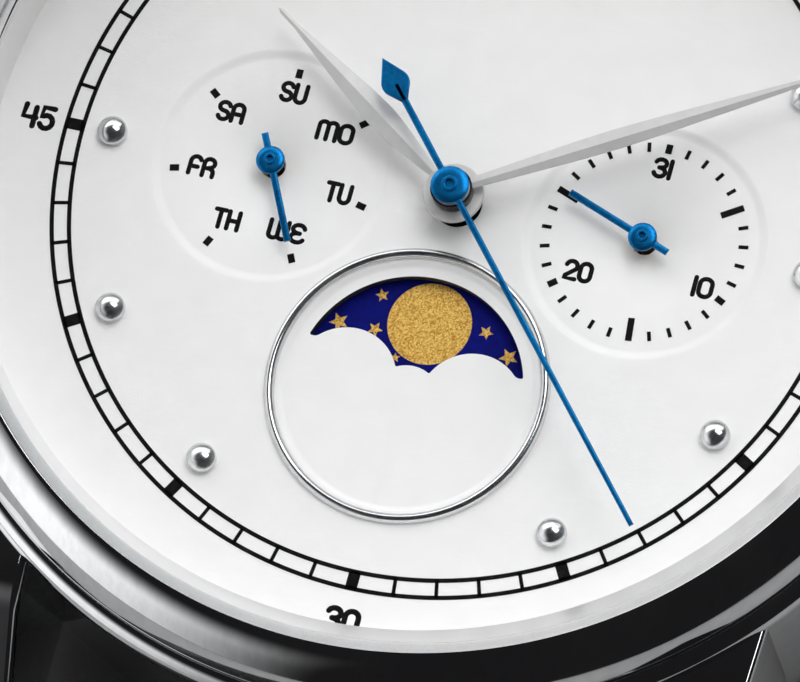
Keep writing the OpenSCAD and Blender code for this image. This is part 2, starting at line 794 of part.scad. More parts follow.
module train_bridge() {
    color("gold") difference() {
        at([0, 0], bridge_z) linear_extrude(bridge_t) difference() {
            hull() for (p = concat(bridge_screws, [third_at, rotor_at])) translate(p) circle(r = 1.3, $fn = SMALL_FN);
            translate(cell_at) circle(r = cell_d / 2 + 0.1);
        }
        for (p = bridge_screws) screw_hole(p);
        for (p = [[0, 0], third_at, middle_at, rotor_at]) pivot_hole(p, bridge_z - 1, bridge_top + 1);
    }
}

module circuit_board() {
    steps = 24;
    span = board_end - board_start;
    color("darkgreen") difference() {
        at([0, 0], board_z) linear_extrude(board_t) difference() {
            circle(r = board_outer_r, $fn = ROUND_FN);
            circle(r = board_inner_r, $fn = ROUND_FN);
            polygon(concat([[0, 0]], [for (i = [0 : steps])
                polar(2 * board_outer_r, board_end + (360 - span) * i / steps)]));
        }
        for (p = board_screws) screw_hole(p);
    }
}

module chip() {
    color("black") at(polar(10.8, 72), board_z - 0.5, 72) translate([-1.2, -1.2, 0]) cube([2.4, 2.4, 0.5]);
}

module quartz_can() {
    color("silver") at(polar(10.8, 115), board_z - 0.6, 205) rotate([0, 90, 0])
        translate([0, 0, -2.4]) cylinder(r = 0.6, h = 4.8, $fn = SMALL_FN);
}

module coil_frame() {
    d = coil_end_b - coil_end_a;
    at((coil_end_a + coil_end_b) / 2, 0, atan2(d[1], d[0])) children();
}

coil_l = norm(coil_end_b - coil_end_a);

module coil() {
    color("chocolate") coil_frame() difference() {
        translate([-coil_l / 2 + coil_margin, 0, core_z + core_t / 2]) rotate([0, 90, 0])
            cylinder(r = coil_r, h = coil_l - 2 * coil_margin);
        translate([-coil_l, -0.4, core_z]) cube([2 * coil_l, 0.8, core_t]);
    }
}

module coil_core() {
    color("gray") difference() {
        union() {
            coil_frame() translate([-coil_l / 2, -0.4, core_z]) cube([coil_l, 0.8, core_t]);
            for (p = coil_screws) at(p, core_z) cylinder(r = pillar_r, h = core_t);
        }
        for (p = coil_screws) screw_hole(p);
    }
}

module stator() {
    color("slategray") difference() {
        at([0, 0], stator_z) linear_extrude(stator_t) difference() {
            union() {
                for (p = coil_screws) {
                    hull() for (q = [rotor_at, p]) translate(q) circle(r = 0.5, $fn = SMALL_FN);
                    translate(p) circle(r = pillar_r);
                }
                translate(rotor_at) circle(r = magnet_r + 0.8);
            }
            translate(middle_at) circle(r = middle_module * 4 + 0.3);
        }
        at(rotor_at, 0) cylinder(r = magnet_r + 0.25, h = 10);
        for (p = coil_screws) screw_hole(p);
    }
}

module button_cell() {
    r = cell_d / 2;
    color("silver") at(cell_at, cell_z) {
        translate([0, 0, 0.25]) cylinder(r = r, h = cell_h - 0.25);
        cylinder(r1 = r - 0.9, r2 = r - 0.6, h = 0.25 + EPS);
    }
}

// Spring strip from a bridge screw to the middle of the cell
module cell_clamp() {
    color("goldenrod") difference() {
        at([0, 0], cell_z - clamp_t) linear_extrude(clamp_t) hull() {
            translate(cell_at) circle(r = 1.2, $fn = SMALL_FN);
            translate(bridge_screws[2]) circle(r = 0.8, $fn = SMALL_FN);
        }
        screw_hole(bridge_screws[2]);
    }
}

// Thin plate over the calendar wheels, under the dial
module calendar_cover() {
    color("lightgray") at([0, 0], calendar_cover_z) linear_extrude(calendar_cover_t) difference() {
        circle(r = movement_r - 0.4, $fn = ROUND_FN);
        circle(r = hour_pipe_r + 0.15);
        for (c = [day_xy, date_xy]) translate(c) circle(r = side_arbor_r + run_gap);
        translate(moon_xy) circle(r = side_arbor_r + run_gap);
        for (a = foot_dirs) translate(polar(foot_circle_r, a)) circle(r = foot_r + nest_gap);
    }
}

// Detent spring that rests in a gap of a star wheel
module jumper(xy, side_dir, star_teeth, hand = 1) {
    beak_r = star_r - 0.12;
    a = round(side_dir / (360 / star_teeth) - 0.5) * 360 / star_teeth + 180 / star_teeth;
    at(xy, star_z + 0.02, a) linear_extrude(0.14) mirror([0, hand < 0 ? 1 : 0]) {
        polygon([[beak_r, 0], [star_r + 0.3, 0.25], [star_r + 0.3, -0.25]]);
        translate([star_r + 0.28, -0.25]) square([0.18, 2.6]);
        translate([star_r + 0.37, 2.6]) circle(r = 0.45, $fn = SMALL_FN);
    }
}

module calendar_jumpers() {
    color("steelblue") {
        jumper(day_xy, -90, day_star_teeth, -1);
        jumper(date_xy, -85, date_star_teeth);
        jumper(moon_xy, 250, moon_star_teeth);
    }
}

module rotor() {
    color("dimgray") at(rotor_at) {
        at([0, 0], magnet_z) cylinder(r = magnet_r, h = magnet_t);
        at([0, 0], rotor_pinion_z, tooth_towards(rotor_at, middle_at))
            spur(rotor_teeth, rotor_module, 0.3, pivot_r);
        at([0, 0], bridge_z + 0.1) cylinder(r = pivot_r, h = plate_z + 0.4 - bridge_z, $fn = SMALL_FN);
        at([0, 0], magnet_z) cylinder(r = arbor_r, h = rotor_pinion_z - magnet_z + EPS, $fn = SMALL_FN);
    }
}

module middle_wheel() {
    color("khaki") at(middle_at) {
        at([0, 0], middle_wheel_z, gap_towards(middle_at, rotor_at, middle_teeth))
            spoked(middle_teeth, rotor_module, wheel_t, pivot_r, 5);
        at([0, 0], middle_pinion_z, tooth_towards(middle_at, [0, 0]))
            spur(middle_pinion_teeth, middle_module, 0.4, pivot_r);
        at([0, 0], bridge_z + 0.1) cylinder(r = pivot_r, h = plate_z + 0.4 - bridge_z, $fn = SMALL_FN);
        at([0, 0], middle_pinion_z) cylinder(r = arbor_r, h = middle_wheel_z - middle_pinion_z + EPS, $fn = SMALL_FN);
    }
}

module seconds_wheel() {
    color("khaki") {
        at([0, 0], second_wheel_z, gap_towards([0, 0], middle_at, second_teeth))
            spoked(second_teeth, middle_module, wheel_t, pivot_r, 4);
        at([0, 0], second_pinion_z, tooth_towards([0, 0], third_at))
            spur(second_pinion_teeth, third_module, 0.28, pivot_r);
        at([0, 0], second_wheel_z) cylinder(r = arbor_r, h = second_pinion_z - second_wheel_z + EPS, $fn = SMALL_FN);
        at([0, 0], bridge_z + 0.1) cylinder(r = pivot_r, h = second_wheel_z - bridge_z, $fn = SMALL_FN);
        at([0, 0], second_pinion_z) cylinder(r = second_arbor_r, h = second_z + 0.1 - second_pinion_z, $fn = SMALL_FN);
    }
}

module third_wheel() {
    color("khaki") at(third_at) {
        at([0, 0], third_wheel_z, gap_towards(third_at, [0, 0], third_teeth))
            spoked(third_teeth, third_module, wheel_t, pivot_r, 5);
        at([0, 0], third_pinion_z - EPS, tooth_towards(third_at, [0, 0]))
            spur(third_pinion_teeth, center_module, plate_z - 0.05 - third_pinion_z, pivot_r);
        at([0, 0], bridge_z + 0.1) cylinder(r = pivot_r, h = plate_z + 0.4 - bridge_z, $fn = SMALL_FN);
    }
}

module center_wheel() {
    bore = second_arbor_r + run_gap;
    color("khaki") {
        at([0, 0], center_wheel_z, gap_towards([0, 0], third_at, center_teeth))
            spoked(center_teeth, center_module, wheel_t, cannon_r - EPS, 5);
        at([0, 0], center_wheel_z) ring(cannon_r, bore, minute_z + 0.2 - center_wheel_z, $fn = SMALL_FN);
        at([0, 0], plate_top + 0.04, tooth_towards([0, 0], minute_at_xy))
            spur(cannon_teeth, motion_module, 0.27, cannon_r - EPS);
    }
}

module minute_wheel() {
    color("khaki") at(minute_at_xy) {
        at([0, 0], minute_wheel_z, gap_towards(minute_at_xy, [0, 0], minute_teeth))
            spoked(minute_teeth, motion_module, under_t, post_r + run_gap / 2, 4);
        at([0, 0], minute_wheel_z + under_t - EPS, tooth_towards(minute_at_xy, [0, 0]))
            spur(minute_pinion_teeth, hour_module, 0.3, post_r + run_gap / 2);
    }
}

module hour_wheel() {
    color("khaki") {
        at([0, 0], hour_wheel_z, gap_towards([0, 0], minute_at_xy, hour_teeth))
            spur(hour_teeth, hour_module, under_t, cannon_r + run_gap);
        at([0, 0], hour_wheel_z) ring(hour_pipe_r, cannon_r + run_gap, hour_z + 0.25 - hour_wheel_z, $fn = SMALL_FN);
        at([0, 0], hour_wheel_z + under_t - EPS, tooth_towards([0, 0], date_drive_at))
            spur(hour_pinion_teeth, calendar_module, calendar_cover_z - 0.05 - hour_wheel_z - under_t, hour_pipe_r - EPS);
    }
}

// Wheel that turns once a day, with the finger that advances a star wheel
module drive_wheel(xy, star_xy) {
    bore = post_r + run_gap / 2;
    color("khaki") at(xy) {
        at([0, 0], drive_wheel_z, gap_towards(xy, [0, 0], day_drive_teeth))
            spoked(day_drive_teeth, calendar_module, under_t, bore, 5);
        at([0, 0], star_z, tooth_towards(xy, star_xy) + 40) difference() {
            union() {
                cylinder(r = 0.6, h = drive_wheel_z - star_z + EPS, $fn = SMALL_FN);
                translate([0, -0.16, 0]) cube([finger_r - 0.15, 0.32, 0.16]);
                translate([finger_r - 0.16, 0, 0]) cylinder(r = 0.16, h = 0.16, $fn = SMALL_FN);
            }
            translate([0, 0, -1]) cylinder(r = bore, h = 3, $fn = SMALL_FN);
        }
    }
}

module day_drive_wheel() { drive_wheel(day_drive_at, day_xy); }
module date_drive_wheel() { drive_wheel(date_drive_at, date_xy); }
module moon_drive_wheel() { drive_wheel(moon_drive_at, moon_xy); }

// Star wheel with the hollow arbor that turns on a post of the main plate
module star_wheel(teeth, depth, top_z) {
    at([0, 0], star_z) difference() {
        union() {
            linear_extrude(under_t) polygon(star_outline(teeth, star_r, depth));
            cylinder(r = side_arbor_r, h = top_z - star_z, $fn = SMALL_FN);
        }
        translate([0, 0, -1]) cylinder(r = post_r + run_gap / 2, h = 1 + 0.68, $fn = SMALL_FN);
    }
}

module day_star() {
    color("khaki") at(day_xy) star_wheel(day_star_teeth, 1.0, small_z + 0.1);
}

module date_star() {
    color("khaki") at(date_xy) star_wheel(date_star_teeth, star_tooth_h, small_z + 0.1);
}

module moon_disc() {
    color("midnightblue") at(moon_xy) {
        star_wheel(moon_star_teeth, 0.22, disc_z + EPS);
        at([0, 0], disc_z) cylinder(r = disc_r, h = disc_t);
    }
}

// Half width of a leaf hand at the share t of its length
function leaf_half(t, w) =
    let (peak = 0.42, root = 0.2, s = t < peak ? ease(t / peak) : cos(90 * (t - peak) / (1 - peak)))
    w / 2 * (t < peak ? root + (1 - root) * s : 0.03 + 0.97 * s);

// Leaf hand along +Y with a ridge down its middle
module leaf_hand(len, w, hub_r, bore_r) {
    root = hub_r * 0.8;
    ts = [for (i = [0 : leaf_steps]) i / leaf_steps];
    side = [for (t = ts) [leaf_half(t, w), root + (len - root) * t]];
    flipped = [for (i = [leaf_steps : -1 : 0]) [-side[i][0], side[i][1]]];
    edge_t = 0.08;
    difference() {
        union() {
            intersection() {
                linear_extrude(hand_t) polygon(concat(side, flipped));
                rotate([90, 0, 180]) linear_extrude(len) polygon([
                    [-w, 0], [w, 0], [w, edge_t * 0.2], [w / 2, edge_t], [0, hand_t], [-w / 2, edge_t], [-w, edge_t * 0.2]]);
            }
            cylinder(r = hub_r, h = hand_t + 0.03);
            translate([0, 0, -0.25]) cylinder(r = bore_r + 0.2, h = 0.26, $fn = SMALL_FN);
        }
        translate([0, 0, -1]) cylinder(r = bore_r, h = 3, $fn = SMALL_FN);
    }
}

module hour_hand() {
    color("silver") at([0, 0], hour_z, -hour_at) leaf_hand(hour_len, leaf_w, hour_hub_r, hour_pipe_r);
}

module minute_hand() {
    color("silver") at([0, 0], minute_z, -minute_at) leaf_hand(minute_len, leaf_w, minute_hub_r, cannon_r);
}

// Low domed hub with a hollow rivet
module blued_hub(r, bore) {
    rise = 0.14;
    dome_r = (r * r + rise * rise) / (2 * rise);
    difference() {
        union() {
            cylinder(r = r, h = 0.12);
            intersection() {
                translate([0, 0, 0.12 + rise - dome_r]) sphere(r = dome_r, $fn = ROUND_FN);
                translate([0, 0, 0.1]) cylinder(r = r, h = 1);
            }
            cylinder(r = r * 0.42, h = 0.12 + rise + 0.06, $fn = SMALL_FN);
        }
        translate([0, 0, -1]) cylinder(r = bore, h = 1 + 0.12, $fn = SMALL_FN);
        translate([0, 0, 0.2]) cylinder(r = r * 0.24, h = 1, $fn = SMALL_FN);
    }
}

// Pointed counterweight, its round part centred on the origin and its point down
module spade(r, point, neck_w, neck_l) {
    a = acos(r / point);
    circle(r = r, $fn = SMALL_FN);
    polygon([[0, -point], polar(r, a - 90), [0, r / 2], polar(r, -90 - a)]);
    polygon([[-neck_w / 2, neck_l], polar(r, 150), polar(r, 30), [neck_w / 2, neck_l]]);
}

module seconds_hand() {
    w = blued_bar_w * 0.9;
    bulb_at = second_tail - spade_point;
    color("steelblue") at([0, 0], second_z, -second_at) difference() {
        union() {
            linear_extrude(0.12) polygon([[-w / 2, -bulb_at], [w / 2, -bulb_at],
                [w * 0.36, second_len], [-w * 0.36, second_len]]);
            translate([0, -bulb_at, 0]) linear_extrude(0.12) spade(spade_r, spade_point, w, 1.55 * spade_r);
            blued_hub(second_hub_r, second_arbor_r);
        }
        translate([0, 0, -1]) cylinder(r = second_arbor_r, h = 1.12, $fn = SMALL_FN);
    }
}

module small_hand(a) {
    w = blued_bar_w * 1.15;
    at([0, 0], small_z, -a) difference() {
        union() {
            translate([-w / 2, -small_tail, 0]) cube([w, small_len + small_tail, 0.12]);
            blued_hub(small_hub_r, side_arbor_r);
        }
        translate([0, 0, -1]) cylinder(r = side_arbor_r, h = 1.1, $fn = SMALL_FN);
    }
}

module day_hand() { color("steelblue") at(day_xy) small_hand(day_at); }
module date_hand() { color("steelblue") at(date_xy) small_hand(date_at); }

module on_stem(x) {
    translate([x, 0, stem_z]) rotate([0, 90, 0]) children();
}

module stem() {
    r = stem_d / 2;
    color("silver") difference() {
        union() {
            on_stem(stem_in_x) cylinder(r = r * 0.7, h = pinion_x - stem_in_x + EPS, $fn = SMALL_FN);
            on_stem(pinion_x) cylinder(r = r, h = crown_x + crown_l - 1 - pinion_x, $fn = SMALL_FN);
        }
        on_stem(groove_x) ring(1, groove_r, groove_l, $fn = SMALL_FN);
    }
}

module sliding_pinion() {
    color("gray") on_stem(pinion_x + 0.05) difference() {
        linear_extrude(pinion_l) polygon(star_outline(14, pinion_r, 0.12));
        translate([0, 0, -1]) cylinder(r = stem_d / 2, h = pinion_l + 2, $fn = SMALL_FN);
    }
}

// Flat lever whose nose sits in the stem's groove
module setting_lever() {
    z = plate_z + 0.05;
    color("gray") translate([0, 0, z]) linear_extrude(0.25) {
        hull() {
            translate(lever_pivot) circle(r = 0.5, $fn = SMALL_FN);
            translate([groove_x + groove_l / 2, stem_d / 2 + 0.35]) circle(r = 0.2, $fn = SMALL_FN);
        }
        translate([groove_x + groove_l / 2 - 0.2, -0.1]) square([0.4, stem_d]);
    }
}

module crown() {
    r = crown_d / 2;
    color("silver") difference() {
        union() {
            on_stem(crown_x) cylinder(r1 = r - 0.3, r2 = r, h = 0.3 + EPS);
            on_stem(crown_x + 0.3) cylinder(r = r, h = crown_l - 0.9);
            on_stem(crown_x + crown_l - 0.6 - EPS) cylinder(r1 = r, r2 = r - 0.8, h = 0.6);
        }
        for (i = [0 : crown_flutes - 1]) on_stem(crown_x - 1) rotate([0, 0, 360 / crown_flutes * i])
            translate([r + flute_r * 0.35, 0, 0]) cylinder(r = flute_r, h = crown_l + 2, $fn = 16);
        on_stem(crown_x - 1) ring(crown_cavity_r, crown_post_r, 1 + crown_cavity_l);
        on_stem(crown_x - 2) cylinder(r = stem_d / 2, h = crown_l + 1, $fn = SMALL_FN);
    }
}

module crown_gasket() {
    color("black") on_stem(crown_x + 0.3) ring(crown_cavity_r, tube_r + 0.03, 0.45);
}

// Thickness of the strap at the distance s from the spring bar
function strap_t(s) =
    strap_tip_t + (strap_root_t - strap_tip_t) * (1 - ease(s / strap_taper_l))
    + strap_pad_t * ease(s / 7) * (1 - ease((s - 7) / (strap_taper_l - 7)));

// Height of the strap's underside at the distance s from the spring bar
function strap_under(s, rest_z) =
    rest_z + (bar_z - wrap_r - rest_z) * (1 - ease(s / 16));

// Half width of the strap at the distance s from the spring bar
function strap_half(s) =
    (strap_w - (strap_w - strap_end_w) * ease(max(s - 3, 0) / (strap_taper_l - 3))) / 2;

// Side view of one layer of the strap, between the shares low and high of the section
module strap_side(from, to, rest_z, low, high) {
    stations = [for (i = [0 : strap_steps]) from + (to - from) * pow(i / strap_steps, 1.6)];
    under = [for (s = stations) [s, strap_under(s, rest_z) + (low ? 0 : lining_t)]];
    over = [for (i = [strap_steps : -1 : 0]) let (s = stations[i])
        [s, strap_under(s, rest_z) + (high ? strap_t(s) : lining_t)]];
    polygon(concat(under, over));
}

// Plan view of the strap between two distances, with the outline of its end, right side first
module strap_plan(from, to, end = []) {
    stations = [for (i = [0 : strap_steps]) from + (to - from) * i / strap_steps];
    right = concat([for (s = stations) [strap_half(s), s]], end);
    left = [for (i = [len(right) - 1 : -1 : 0]) if (right[i][0] > EPS) [-right[i][0], right[i][1]]];
    polygon(concat(right, left));
}

// Layer cut from the plan in children(0), with the circles of its wraps in the list of [s, z, r]
module strap_layer(from, to, rest_z, low, high, wraps) {
    intersection() {
        translate([-strap_w, 0, 0]) rotate([90, 0, 90]) linear_extrude(2 * strap_w) union() {
            strap_side(from, to, rest_z, low, high);
            for (w = wraps) translate([w[0], w[1]]) circle(r = w[2]);
        }
        translate([0, 0, -1]) linear_extrude(ledge_z) children();
    }
}

// The long half, which ends in a pointed arch
module long_plan(from) {
    half = strap_end_w / 2;
    r = half * 1.55;
    reach = acos((r - half) / r);
    start = long_l - r * sin(reach);
    strap_plan(from, start, [for (i = [1 : tip_steps])
        [half - r, start] + polar(r, reach * i / tip_steps)]);
}

module strap_holes() {
    for (i = [0 : hole_count - 1])
        translate([0, long_l - hole_start - i * hole_pitch, -1]) cylinder(r = hole_d / 2, h = 10, $fn = SMALL_FN);
}

module bar_bore(y, z, r) {
    translate([-strap_w, y, z]) rotate([0, 90, 0]) cylinder(r = r, h = 2 * strap_w);
}

module short_side() { translate([0, bar_y, 0]) children(); }
module long_side() { mirror([0, 1, 0]) translate([0, bar_y, 0]) children(); }

module tang_slot() {
    translate([-tang_slot_w / 2, short_l - tang_slot_l, -1]) cube([tang_slot_w, 2 * tang_slot_l, 10]);
}

module short_strap_top() {
    color("dimgray") short_side() difference() {
        strap_layer(0, short_l, short_rest_z, false, true, [[0, bar_z, wrap_r], [short_l, buckle_z, buckle_wrap_r]])
            strap_plan(-wrap_r, short_l + buckle_wrap_r);
        bar_bore(0, bar_z, bar_bore_r);
        bar_bore(short_l, buckle_z, buckle_bar_r + run_gap);
        tang_slot();
    }
}

module short_strap_lining() {
    color("saddlebrown") short_side() difference() {
        strap_layer(0, short_l, short_rest_z, true, false, []) strap_plan(lining_start, short_l);
        bar_bore(short_l, buckle_z, buckle_wrap_r);
        tang_slot();
    }
}

module long_strap_top() {
    color("dimgray") long_side() difference() {
        strap_layer(0, long_l, long_rest_z, false, true, [[0, bar_z, wrap_r]]) long_plan(-wrap_r);
        bar_bore(0, bar_z, bar_bore_r);
        strap_holes();
    }
}

module long_strap_lining() {
    color("saddlebrown") long_side() difference() {
        strap_layer(0, long_l, long_rest_z, true, false, []) long_plan(lining_start);
        strap_holes();
    }
}

// Upright oblong with round corners, centred on x
module oblong(half, low, high, r) {
    for (s = [-1, 1], z = [low + r, high - r]) translate([s * (half - r), z]) circle(r = r, $fn = SMALL_FN);
    translate([-half + r, low]) square([2 * (half - r), high - low]);
    translate([-half, low + r]) square([2 * half, high - low - 2 * r]);
}

module keeper(y) {
    inner = strap_end_w / 2 + loop_gap;
    low = short_rest_z - slide_gap;
    high = short_rest_z + 2 * strap_tip_t + 0.5;
    short_side() translate([0, y + keeper_w / 2, 0]) rotate([90, 0, 0]) linear_extrude(keeper_w) difference() {
        oblong(inner + keeper_t, low - keeper_t, high + keeper_t, keeper_t + 0.4);
        oblong(inner, low, high, 0.4);
    }
}

module fixed_keeper() { color("dimgray") keeper(short_l - fixed_keeper_at); }
module free_keeper() { color("dimgray") keeper(short_l - free_keeper_at); }

module buckle_plan() {
    outer_y = cross_y + buckle_cross_w;
    r = buckle_corner_r;
    for (s = [-1, 1]) translate([s * (arm_out_x - r), outer_y - r]) circle(r = r);
    translate([-arm_out_x + r, outer_y - r]) square([2 * (arm_out_x - r), r]);
    translate([-arm_out_x, buckle_y - buckle_t / 2]) square([2 * arm_out_x, outer_y - r - buckle_y + buckle_t / 2]);
}

module buckle_frame() {
    half_t = buckle_t / 2;
    color("silver") difference() {
        intersection() {
            translate([0, 0, buckle_z - half_t]) linear_extrude(buckle_t) difference() {
                buckle_plan();
                translate([-arm_in_x, buckle_y - 5]) square([2 * arm_in_x, 5 + buckle_window]);
            }
            union() {
                translate([-20, buckle_y, buckle_z]) rotate([0, 90, 0]) cylinder(r = half_t, h = 40);
                translate([-20, buckle_y, buckle_z - half_t]) cube([40, 40, buckle_t]);
            }
        }
        for (s = [0, 1]) mirror([s, 0, 0]) translate([arm_in_x - 1, buckle_y, buckle_z]) rotate([0, 90, 0])
            cylinder(r = buckle_pivot_r + run_gap, h = 1 + buckle_pivot_l + 0.1, $fn = SMALL_FN);
    }
}

module buckle_bar() {
    color("gray") translate([0, buckle_y, buckle_z]) rotate([0, 90, 0]) {
        translate([0, 0, -arm_in_x + 0.1]) cylinder(r = buckle_bar_r, h = 2 * arm_in_x - 0.2);
        translate([0, 0, -arm_in_x - buckle_pivot_l])
            cylinder(r = buckle_pivot_r, h = 2 * (arm_in_x + buckle_pivot_l), $fn = SMALL_FN);
    }
}

module buckle_tang() {
    rest_z = cross_top + 0.02;
    color("silver") difference() {
        union() {
            translate([-tang_w / 2, buckle_y, buckle_z]) rotate([0, 90, 0]) cylinder(r = tang_loop_r, h = tang_w);
            translate([-tang_w / 2, buckle_y, 0]) rotate([90, 0, 90]) linear_extrude(tang_w) polygon([
                [0, buckle_z + tang_loop_r - tang_t * 0.6], [0, buckle_z + tang_loop_r],
                [buckle_window * 0.4, rest_z + tang_t + 0.12], [buckle_window, rest_z + tang_t],
                [buckle_window + buckle_cross_w, rest_z + tang_t * 0.9],
                [buckle_window + buckle_cross_w + 0.3, rest_z + tang_t * 0.4],
                [buckle_window + buckle_cross_w, rest_z], [buckle_window, rest_z],
                [buckle_window * 0.4, rest_z - 0.05]]);
        }
        translate([-tang_w, buckle_y, buckle_z]) rotate([0, 90, 0])
            cylinder(r = buckle_bar_r + run_gap, h = 2 * tang_w);
    }
}

mid_case();
case_back();
case_back_gasket();
bezel();
crystal();
crystal_gasket();
rehaut();
dial();
hour_markers();
moon_ring();
movement_holder();
crown_tube();
spring_bars();
main_plate();
train_bridge();
circuit_board();
chip();
quartz_can();
coil();
coil_core();
stator();
button_cell();
cell_clamp();
movement_screws();
calendar_cover();
calendar_jumpers();
rotor();
middle_wheel();
seconds_wheel();
third_wheel();
center_wheel();
minute_wheel();
hour_wheel();
day_drive_wheel();
date_drive_wheel();
moon_drive_wheel();
day_star();
date_star();
moon_disc();
hour_hand();
minute_hand();
seconds_hand();
day_hand();
date_hand();
setting_lever();
stem();
sliding_pinion();
crown();
crown_gasket();
short_strap_top();
short_strap_lining();
long_strap_top();
long_strap_lining();
fixed_keeper();
free_keeper();
buckle_frame();
buckle_bar();
buckle_tang();
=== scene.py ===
import math

import bmesh
import bpy
from mathutils import Matrix, Vector


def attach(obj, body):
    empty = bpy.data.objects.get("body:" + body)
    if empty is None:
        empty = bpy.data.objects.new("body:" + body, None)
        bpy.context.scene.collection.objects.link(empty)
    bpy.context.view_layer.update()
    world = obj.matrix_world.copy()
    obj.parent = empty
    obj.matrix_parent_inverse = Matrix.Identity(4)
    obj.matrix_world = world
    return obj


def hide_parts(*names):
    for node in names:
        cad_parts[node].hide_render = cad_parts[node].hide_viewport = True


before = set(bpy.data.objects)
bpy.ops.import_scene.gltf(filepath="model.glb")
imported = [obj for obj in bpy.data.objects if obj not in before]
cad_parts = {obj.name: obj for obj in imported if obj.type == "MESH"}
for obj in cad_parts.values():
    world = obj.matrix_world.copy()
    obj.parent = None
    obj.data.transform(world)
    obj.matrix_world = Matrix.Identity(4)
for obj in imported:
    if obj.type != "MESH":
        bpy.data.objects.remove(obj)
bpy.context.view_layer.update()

# Middle case
# The steel body round the movement: a straight-sided ring with four lugs, turned and milled from
# 316L stainless bar, then mirror polished. Lengths are in millimetres until a piece is made.
MM = 0.001
STEPS = 288
CASE_R = 21.0
BACK_T = 0.8
BACK_BORE_R = 17.2
BACK_SEAT_R = 18.35
BACK_SEAT_Z = 1.2
INNER_LIP_Z = 2.25
LEDGE_Z = 9.1
CASE_EDGE_R = 0.4
SHOULDER_R = 0.62
BORE_R = 18.81
NECK_IN_R = 19.05
NECK_OUT_R = 19.65
NECK_TOP = 9.75
LUG_GAP = 23.5
LUG_ROOT_R = 20.0
LUG_TOP_Z = 8.6
LUG_BEND_Y = 17.44
LUG_BEND_R = 2.5
LUG_FALL = 43.0
LUG_TIP_Y = 25.6
LUG_TIP_TOP = 1.905
LUG_FLOOR = 0.7
LUG_SIDE_R = 60.0
LUG_TIP_R = 0.9
BAR_Z = 3.0


def linear(hex_colour):
    """sRGB hex to the linear colour that a shader socket takes."""
    channels = [int(hex_colour[i:i + 2], 16) / 255 for i in (1, 3, 5)]
    return [c / 12.92 if c <= 0.04045 else ((c + 0.055) / 1.055) ** 2.4 for c in channels] + [1]


def add(material, kind, sockets={}, **settings):
    """A shader node with its settings; a socket takes a value, or a link from another node's output."""
    node = material.node_tree.nodes.new("ShaderNode" + kind)
    for name, value in settings.items():
        setattr(node, name, value)
    for name, value in sockets.items():
        if isinstance(value, bpy.types.NodeSocket):
            material.node_tree.links.new(value, node.inputs[name])
        else:
            node.inputs[name].default_value = value
    return node


def empty_material(name):
    material = bpy.data.materials.new(name)
    material.use_nodes = True
    material.node_tree.nodes.clear()
    return material


def worked(name, light, dark, rough, grain, relief, stretch=(1, 1, 1), about=None, **sockets):
    """A worked surface: noise of a real grain in mm moves its shade and roughness and lifts a relief.

    stretch draws the grain out into brush lines, and about makes them circles round a point.
    """
    material = empty_material(name)
    where = add(material, "TexCoord").outputs["Object"]
    if about is not None:
        where = add(material, "Mapping", {"Vector": where, "Location": (-about[0] * MM, -about[1] * MM, 0)})
        flat = add(material, "VectorMath", {0: where.outputs[0], 1: (1, 1, 0)}, operation="MULTIPLY")
        radius = add(material, "VectorMath", {0: flat.outputs[0]}, operation="LENGTH")
        where = add(material, "CombineXYZ", {"X": radius.outputs["Value"]}).outputs[0]
    fine = add(material, "Mapping", {"Vector": where, "Scale": [s / (grain * MM) for s in stretch]})
    noise = add(material, "TexNoise", {"Vector": fine.outputs[0], "Scale": 1, "Detail": 3})
    broad = add(material, "TexNoise", {"Vector": where, "Scale": 1 / (14 * grain * MM), "Detail": 2})
    both = add(material, "Math", {0: noise.outputs["Fac"], 1: broad.outputs["Fac"]}, operation="MULTIPLY")
    shade = add(material, "MapRange", {"Value": both.outputs[0], "From Min": 0.12, "From Max": 0.38})
    colour = add(material, "Mix", {"Factor": shade.outputs[0], "A": linear(dark), "B": linear(light)},
                 data_type="RGBA")
    roughness = add(material, "MapRange", {"Value": broad.outputs["Fac"], "From Min": 0.3, "From Max": 0.7,
                                           "To Min": rough[0], "To Max": rough[1]})
    bump = add(material, "Bump", {"Height": noise.outputs["Fac"], "Distance": relief * MM, "Strength": 1})
    shader = add(material, "BsdfPrincipled", {"Base Color": colour.outputs["Result"],
                                              "Roughness": roughness.outputs[0], "Normal": bump.outputs[0]})
    for socket, value in sockets.items():
        shader.inputs[socket.replace("_", " ")].default_value = value
    add(material, "OutputMaterial", {"Surface": shader.outputs[0]})
    return material


def ease(t):
    t = min(max(t, 0), 1)
    return t * t * (3 - 2 * t)


def arc(cx, cy, r, start, end, steps):
    """Points of an arc, its angles in degrees."""
    angles = [math.radians(start + (end - start) * i / steps) for i in range(steps + 1)]
    return [(cx + r * math.cos(a), cy + r * math.sin(a)) for a in angles]


def arc_through(p, q, r, steps):
    """Points of the arc of radius r from p to q, its centre on the right of the way."""
    p, q = Vector(p), Vector(q)
    d = q - p
    side = Vector((d.y, -d.x)).normalized()
    centre = (p + q) / 2 + side * math.sqrt(r * r - d.length_squared / 4)
    start = math.degrees(math.atan2(*(p - centre).yx))
    end = math.degrees(math.atan2(*(q - centre).yx))
    if end > start:
        end -= 360
    return arc(centre.x, centre.y, r, start, end, steps)


